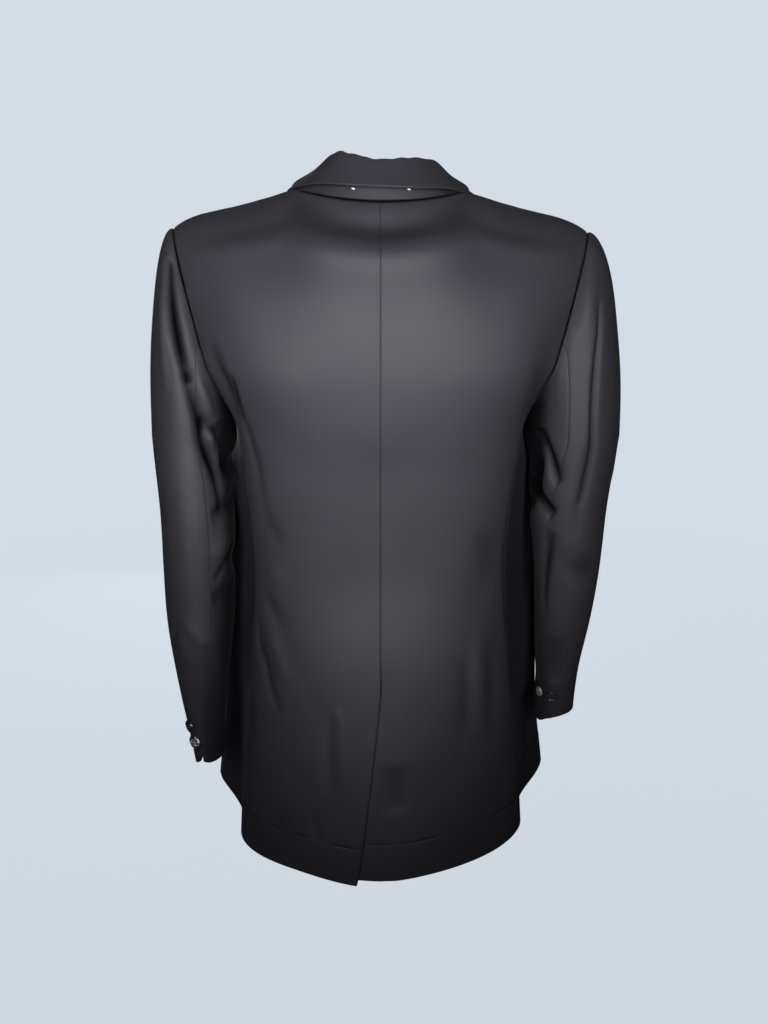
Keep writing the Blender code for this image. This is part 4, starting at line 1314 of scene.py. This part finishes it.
def dished(r, a):
    """A raised rounded rim round a shallow dish, with four sewing holes."""
    rim = 0.30 * bell(r - 0.86, 0.13) + 0.20 * (1 - ease((r - 0.9) / 0.12))
    holes = np.zeros_like(r)
    for k in range(4):
        at = math.pi / 4 + k * math.pi / 2
        gap = np.hypot(r * np.cos(a) - HOLES_AT * math.cos(at),
                       r * np.sin(a) - HOLES_AT * math.sin(at))
        holes += 0.45 * np.exp(-(gap / 0.075) ** 4)
    return rim - holes


def domed(r, a):
    """A glossy face that swells in the middle inside a thin rim."""
    return (0.22 + 0.22 * np.sqrt(np.maximum(0, 1 - (r / 0.80) ** 2)) * (r < 0.80)
            + 0.16 * bell(r - 0.93, 0.05) - 0.1 * ease((r - 0.97) / 0.03))


def rosette(r, a):
    """Petals round a boss, inside a ring of beads."""
    petals = 0.48 * np.abs(np.cos(4 * a)) ** 0.7 * bell(r - 0.48, 0.17)
    boss = 0.40 * np.sqrt(np.maximum(0, 1 - (r / 0.22) ** 2)) * (r < 0.22)
    beads = 0.36 * np.abs(np.sin(12 * a)) ** 0.6 * bell(r - 0.86, 0.07)
    return 0.10 + petals + boss + beads


def rope(name, points, radius, finish):
    """A short length of thread through these points."""
    curve = bpy.data.curves.new(name, "CURVE")
    curve.dimensions = "3D"
    curve.bevel_depth = radius
    curve.bevel_resolution = 3
    curve.use_fill_caps = True
    line = curve.splines.new("NURBS")
    line.points.add(len(points) - 1)
    for point, place in zip(line.points, points):
        point.co = (*place, 1)
    line.order_u = 3
    line.use_endpoint_u = True
    curve.materials.append(finish)
    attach(placed(name, curve), "root")


BUTTON_THICKNESS = 0.0032
BUTTON_CLEARANCE = 0.0008
SOLID_WALL = 0.0015
THREAD_RADIUS = 0.00022
SHANK_RADIUS = 0.0011
FACE_SHARE = 0.95


def sewn_on(name, place, axes, radius):
    """Two crossed bars of thread through the holes, and a shank behind."""
    x, y, up = axes
    reach = HOLES_AT * radius * math.sqrt(0.5)
    for number, slant in ((1, 1), (2, -1)):
        end = x * reach + y * reach * slant
        height = up * BUTTON_THICKNESS * (0.25 + 0.05 * number)
        sunk = up * BUTTON_THICKNESS * 0.3
        line = [place + end - sunk, place + end + height * 0.7, place + height * 1.15,
                place - end + height * 0.7, place - end - sunk]
        rope("%s_bar_%d" % (name, number), line, THREAD_RADIUS, BLACK_THREAD)
    line = [place - up * BUTTON_THICKNESS * 0.4,
            place - up * (BUTTON_THICKNESS * 0.5 + BUTTON_CLEARANCE + 0.0008)]
    rope(name + "_shank", line, SHANK_RADIUS, BLACK_THREAD)


Button = namedtuple("Button", "node radius slot finish height turn sewn")


def fastened(button, place, out):
    centre = settled(place + out * (SOLID_WALL / 2 + BUTTON_CLEARANCE + BUTTON_THICKNESS / 2))
    made, axes = turned_button(button.node + "_polished", centre, out, button.turn,
                               button.radius * FACE_SHARE, BUTTON_THICKNESS, button.height,
                               button.finish)
    dressed(made, button.node)
    if button.sewn:
        sewn_on(button.node, centre, axes, button.radius)
    else:
        rope(button.node + "_shank", [centre - out * 0.0012, centre - out * 0.0033],
             SHANK_RADIUS, BLACK_THREAD)


# Cuff buttons by the sleeve, the angle and the row that they sit at
CUFF_BUTTONS = (
    ("left", 50, 5.54, Button("cuff_button_upper_left", 0.0075, "dark_button", DARK_BUTTON,
                              dished, 0.3, True)),
    ("left", 41, 5.94, Button("cuff_button_lower_left", 0.0085, "metal_button", METAL_BUTTON,
                              rosette, 0.9, False)),
    ("right", 36, 5.58, Button("cuff_button_outer_right", 0.0060, "dark_button", DARK_BUTTON,
                               domed, 0.0, False)),
    ("right", 10, 5.56, Button("cuff_button_inner_right", 0.0055, "grey_button", GREY_BUTTON,
                               domed, 0.0, False)),
)
FRONT_BUTTON_ROWS = {"front_button_upper": 3.26, "front_button_lower": 2.34}
FRONT_BUTTON_ACROSS = np.array(0.115)


def cuff_buttons():
    for hand, angle, row, button in CUFF_BUTTONS:
        sections = SLEEVES[hand].sections
        place = plain_sleeve(sections, angle, row)
        out = unit(np.cross(plain_sleeve(sections, angle + 3, row) - place,
                            plain_sleeve(sections, angle, row + 0.05) - place))
        fastened(button, handed(place, hand), handed(out, hand))


def front_buttons():
    for node, row in FRONT_BUTTON_ROWS.items():
        button = Button(node, 0.0105, "dark_button", DARK_BUTTON, dished, 0.78, True)
        fastened(button, front_surface("right", FRONT_BUTTON_ACROSS, row),
                 front_normal("right", FRONT_BUTTON_ACROSS, row, 0.02))


# The tacks: each one's place across the stand and its slant, and where it runs in and out
TACKS = (("left", 0.0293, 0.3), ("right", 0.0307, 0.2))
TACK_HEIGHT = 0.27
TACK_REACH = 0.0013
TACK_RADIUS = 0.0008
TACK_PATH = ((-1, -0.0002), (-0.6, 0.0011), (0.6, 0.0011), (1, -0.0002))


def tacks():
    """Two pale stitches on the stand, under the fall, where the collar was basted."""
    for hand, across, slant in TACKS:
        at = min(np.linspace(0, 0.6, 241), key=lambda a: abs(collar_back(a)[FOOT][0] - across))
        path = collar_back(at)
        spot = handed(path[FOOT] + (path[CREST] - path[FOOT]) * TACK_HEIGHT, hand)
        way = np.array((1.0, 0.0, slant)) * TACK_REACH
        ends = [spot + way * along + np.array((0, out, 0)) for along, out in TACK_PATH]
        rope("collar_tack_" + hand, [settled(end) for end in ends], TACK_RADIUS, PALE_THREAD)


# The photograph's height, its lens and the line that the garment's middle lies on, in its pixels
PICTURE_HEIGHT = 1024
FOCAL_PIXELS = 1285
CENTRE_PIXEL = 384
GARMENT_PIXEL = 380.5
SENSOR = 36


def camera():
    lens = bpy.data.cameras.new("camera")
    lens.sensor_width = SENSOR
    lens.lens = SENSOR * FOCAL_PIXELS / PICTURE_HEIGHT
    lens.shift_x = (CENTRE_PIXEL - GARMENT_PIXEL) / PICTURE_HEIGHT
    made = placed("camera", lens)
    made.location = (0, 1.355, 0.012)
    made.rotation_euler = (math.radians(75), 0, math.radians(180))
    bpy.context.scene.camera = made


PAPER = (0.658, 0.716, 0.791)
PAPER_GLOW = 0.93
FLOOR_DEPTH = -1.05
FLOOR_RADIUS = 7
FLOOR_SIDES = 96


def softbox(name, place, aim, width, height, power, colour=(1, 1, 1), spread=180, gloss=True):
    light = bpy.data.lights.new(name, "AREA")
    light.shape = "RECTANGLE"
    light.size, light.size_y = width, height
    light.energy = power
    light.color = colour
    light.spread = math.radians(spread)
    made = placed(name, light)
    made.location = place
    made.rotation_euler = (Vector(aim) - Vector(place)).to_track_quat("-Z", "Y").to_euler()
    made.visible_camera = False
    made.visible_glossy = gloss


def studio():
    """Soft light from two narrow boxes behind the garment and wide ones round it."""
    for place, aim, spread, power in ((0.38, 0.0, 64, 2.5), (-0.34, 0.08, 56, 2.2)):
        softbox("key", (place, 1.10, 0.0), (aim, 0.1, -0.12), 0.5, 0.5,
                power, (0.97, 0.97, 1.0), spread)
    softbox("low_fill", (0.3, 2.3, -0.6), (0, 0, -0.40), 1.6, 0.7, 0.8, (0.96, 0.97, 1.0))
    softbox("front_light", (0.35, -2.1, -0.35), (0, -0.1, -0.35), 1.2, 1.2, 30)
    softbox("side_left", (2.2, -0.6, -0.3), (0.2, 0, -0.35), 0.8, 1.2, 5, gloss=False)
    softbox("side_right", (-2.2, -0.6, -0.3), (-0.2, 0, -0.35), 0.8, 1.2, 5, gloss=False)
    world = bpy.data.worlds.new("paper")
    world.use_nodes = True
    world.node_tree.nodes["Background"].inputs[0].default_value = (*PAPER, 1)
    world.cycles_visibility.diffuse = False
    world.cycles_visibility.glossy = False
    bpy.context.scene.world = world
    bpy.context.scene.view_settings.view_transform = "Standard"


def floor_paper():
    """Pale paper, nearly as bright as its surroundings, that fades into them."""
    paint = Paint("floor_paper")
    length = paint.node("ShaderNodeVectorMath", {"operation": "LENGTH"}, {0: paint.place()}, 1)
    fading = paint.node("ShaderNodeMapRange", {"interpolation_type": "SMOOTHSTEP"},
                        {"Value": length, "From Min": 0.7, "From Max": 3.2})
    near = paint.node("ShaderNodeBsdfDiffuse", None, {"Color": (*PAPER, 1)})
    far = paint.node("ShaderNodeEmission", None, {"Color": (*PAPER, 1), "Strength": 1.0})
    lit = paint.node("ShaderNodeMixShader", None, {0: PAPER_GLOW, 1: near, 2: far})
    return paint.finished(paint.node("ShaderNodeMixShader", None, {0: fading, 1: lit, 2: far}))


def floor():
    mesh = bpy.data.meshes.new("floor")
    angles = [k * 2 * math.pi / FLOOR_SIDES for k in range(FLOOR_SIDES)]
    ring = [(FLOOR_RADIUS * math.cos(a), FLOOR_RADIUS * math.sin(a), 0) for a in angles]
    mesh.from_pydata(ring, [], [list(range(FLOOR_SIDES))])
    mesh.materials.append(floor_paper())
    made = placed("floor", mesh)
    made.location = (0, 0, FLOOR_DEPTH)
    made.visible_diffuse = False
    made.visible_glossy = False


for each_hand in ("left", "right"):
    back(each_hand)
    side(each_hand)
    front(each_hand)
    lapel(each_hand)
collar()
for each_hand in ("left", "right"):
    sleeve(each_hand)
cuff_buttons()
front_buttons()
tacks()
camera()
studio()
floor()
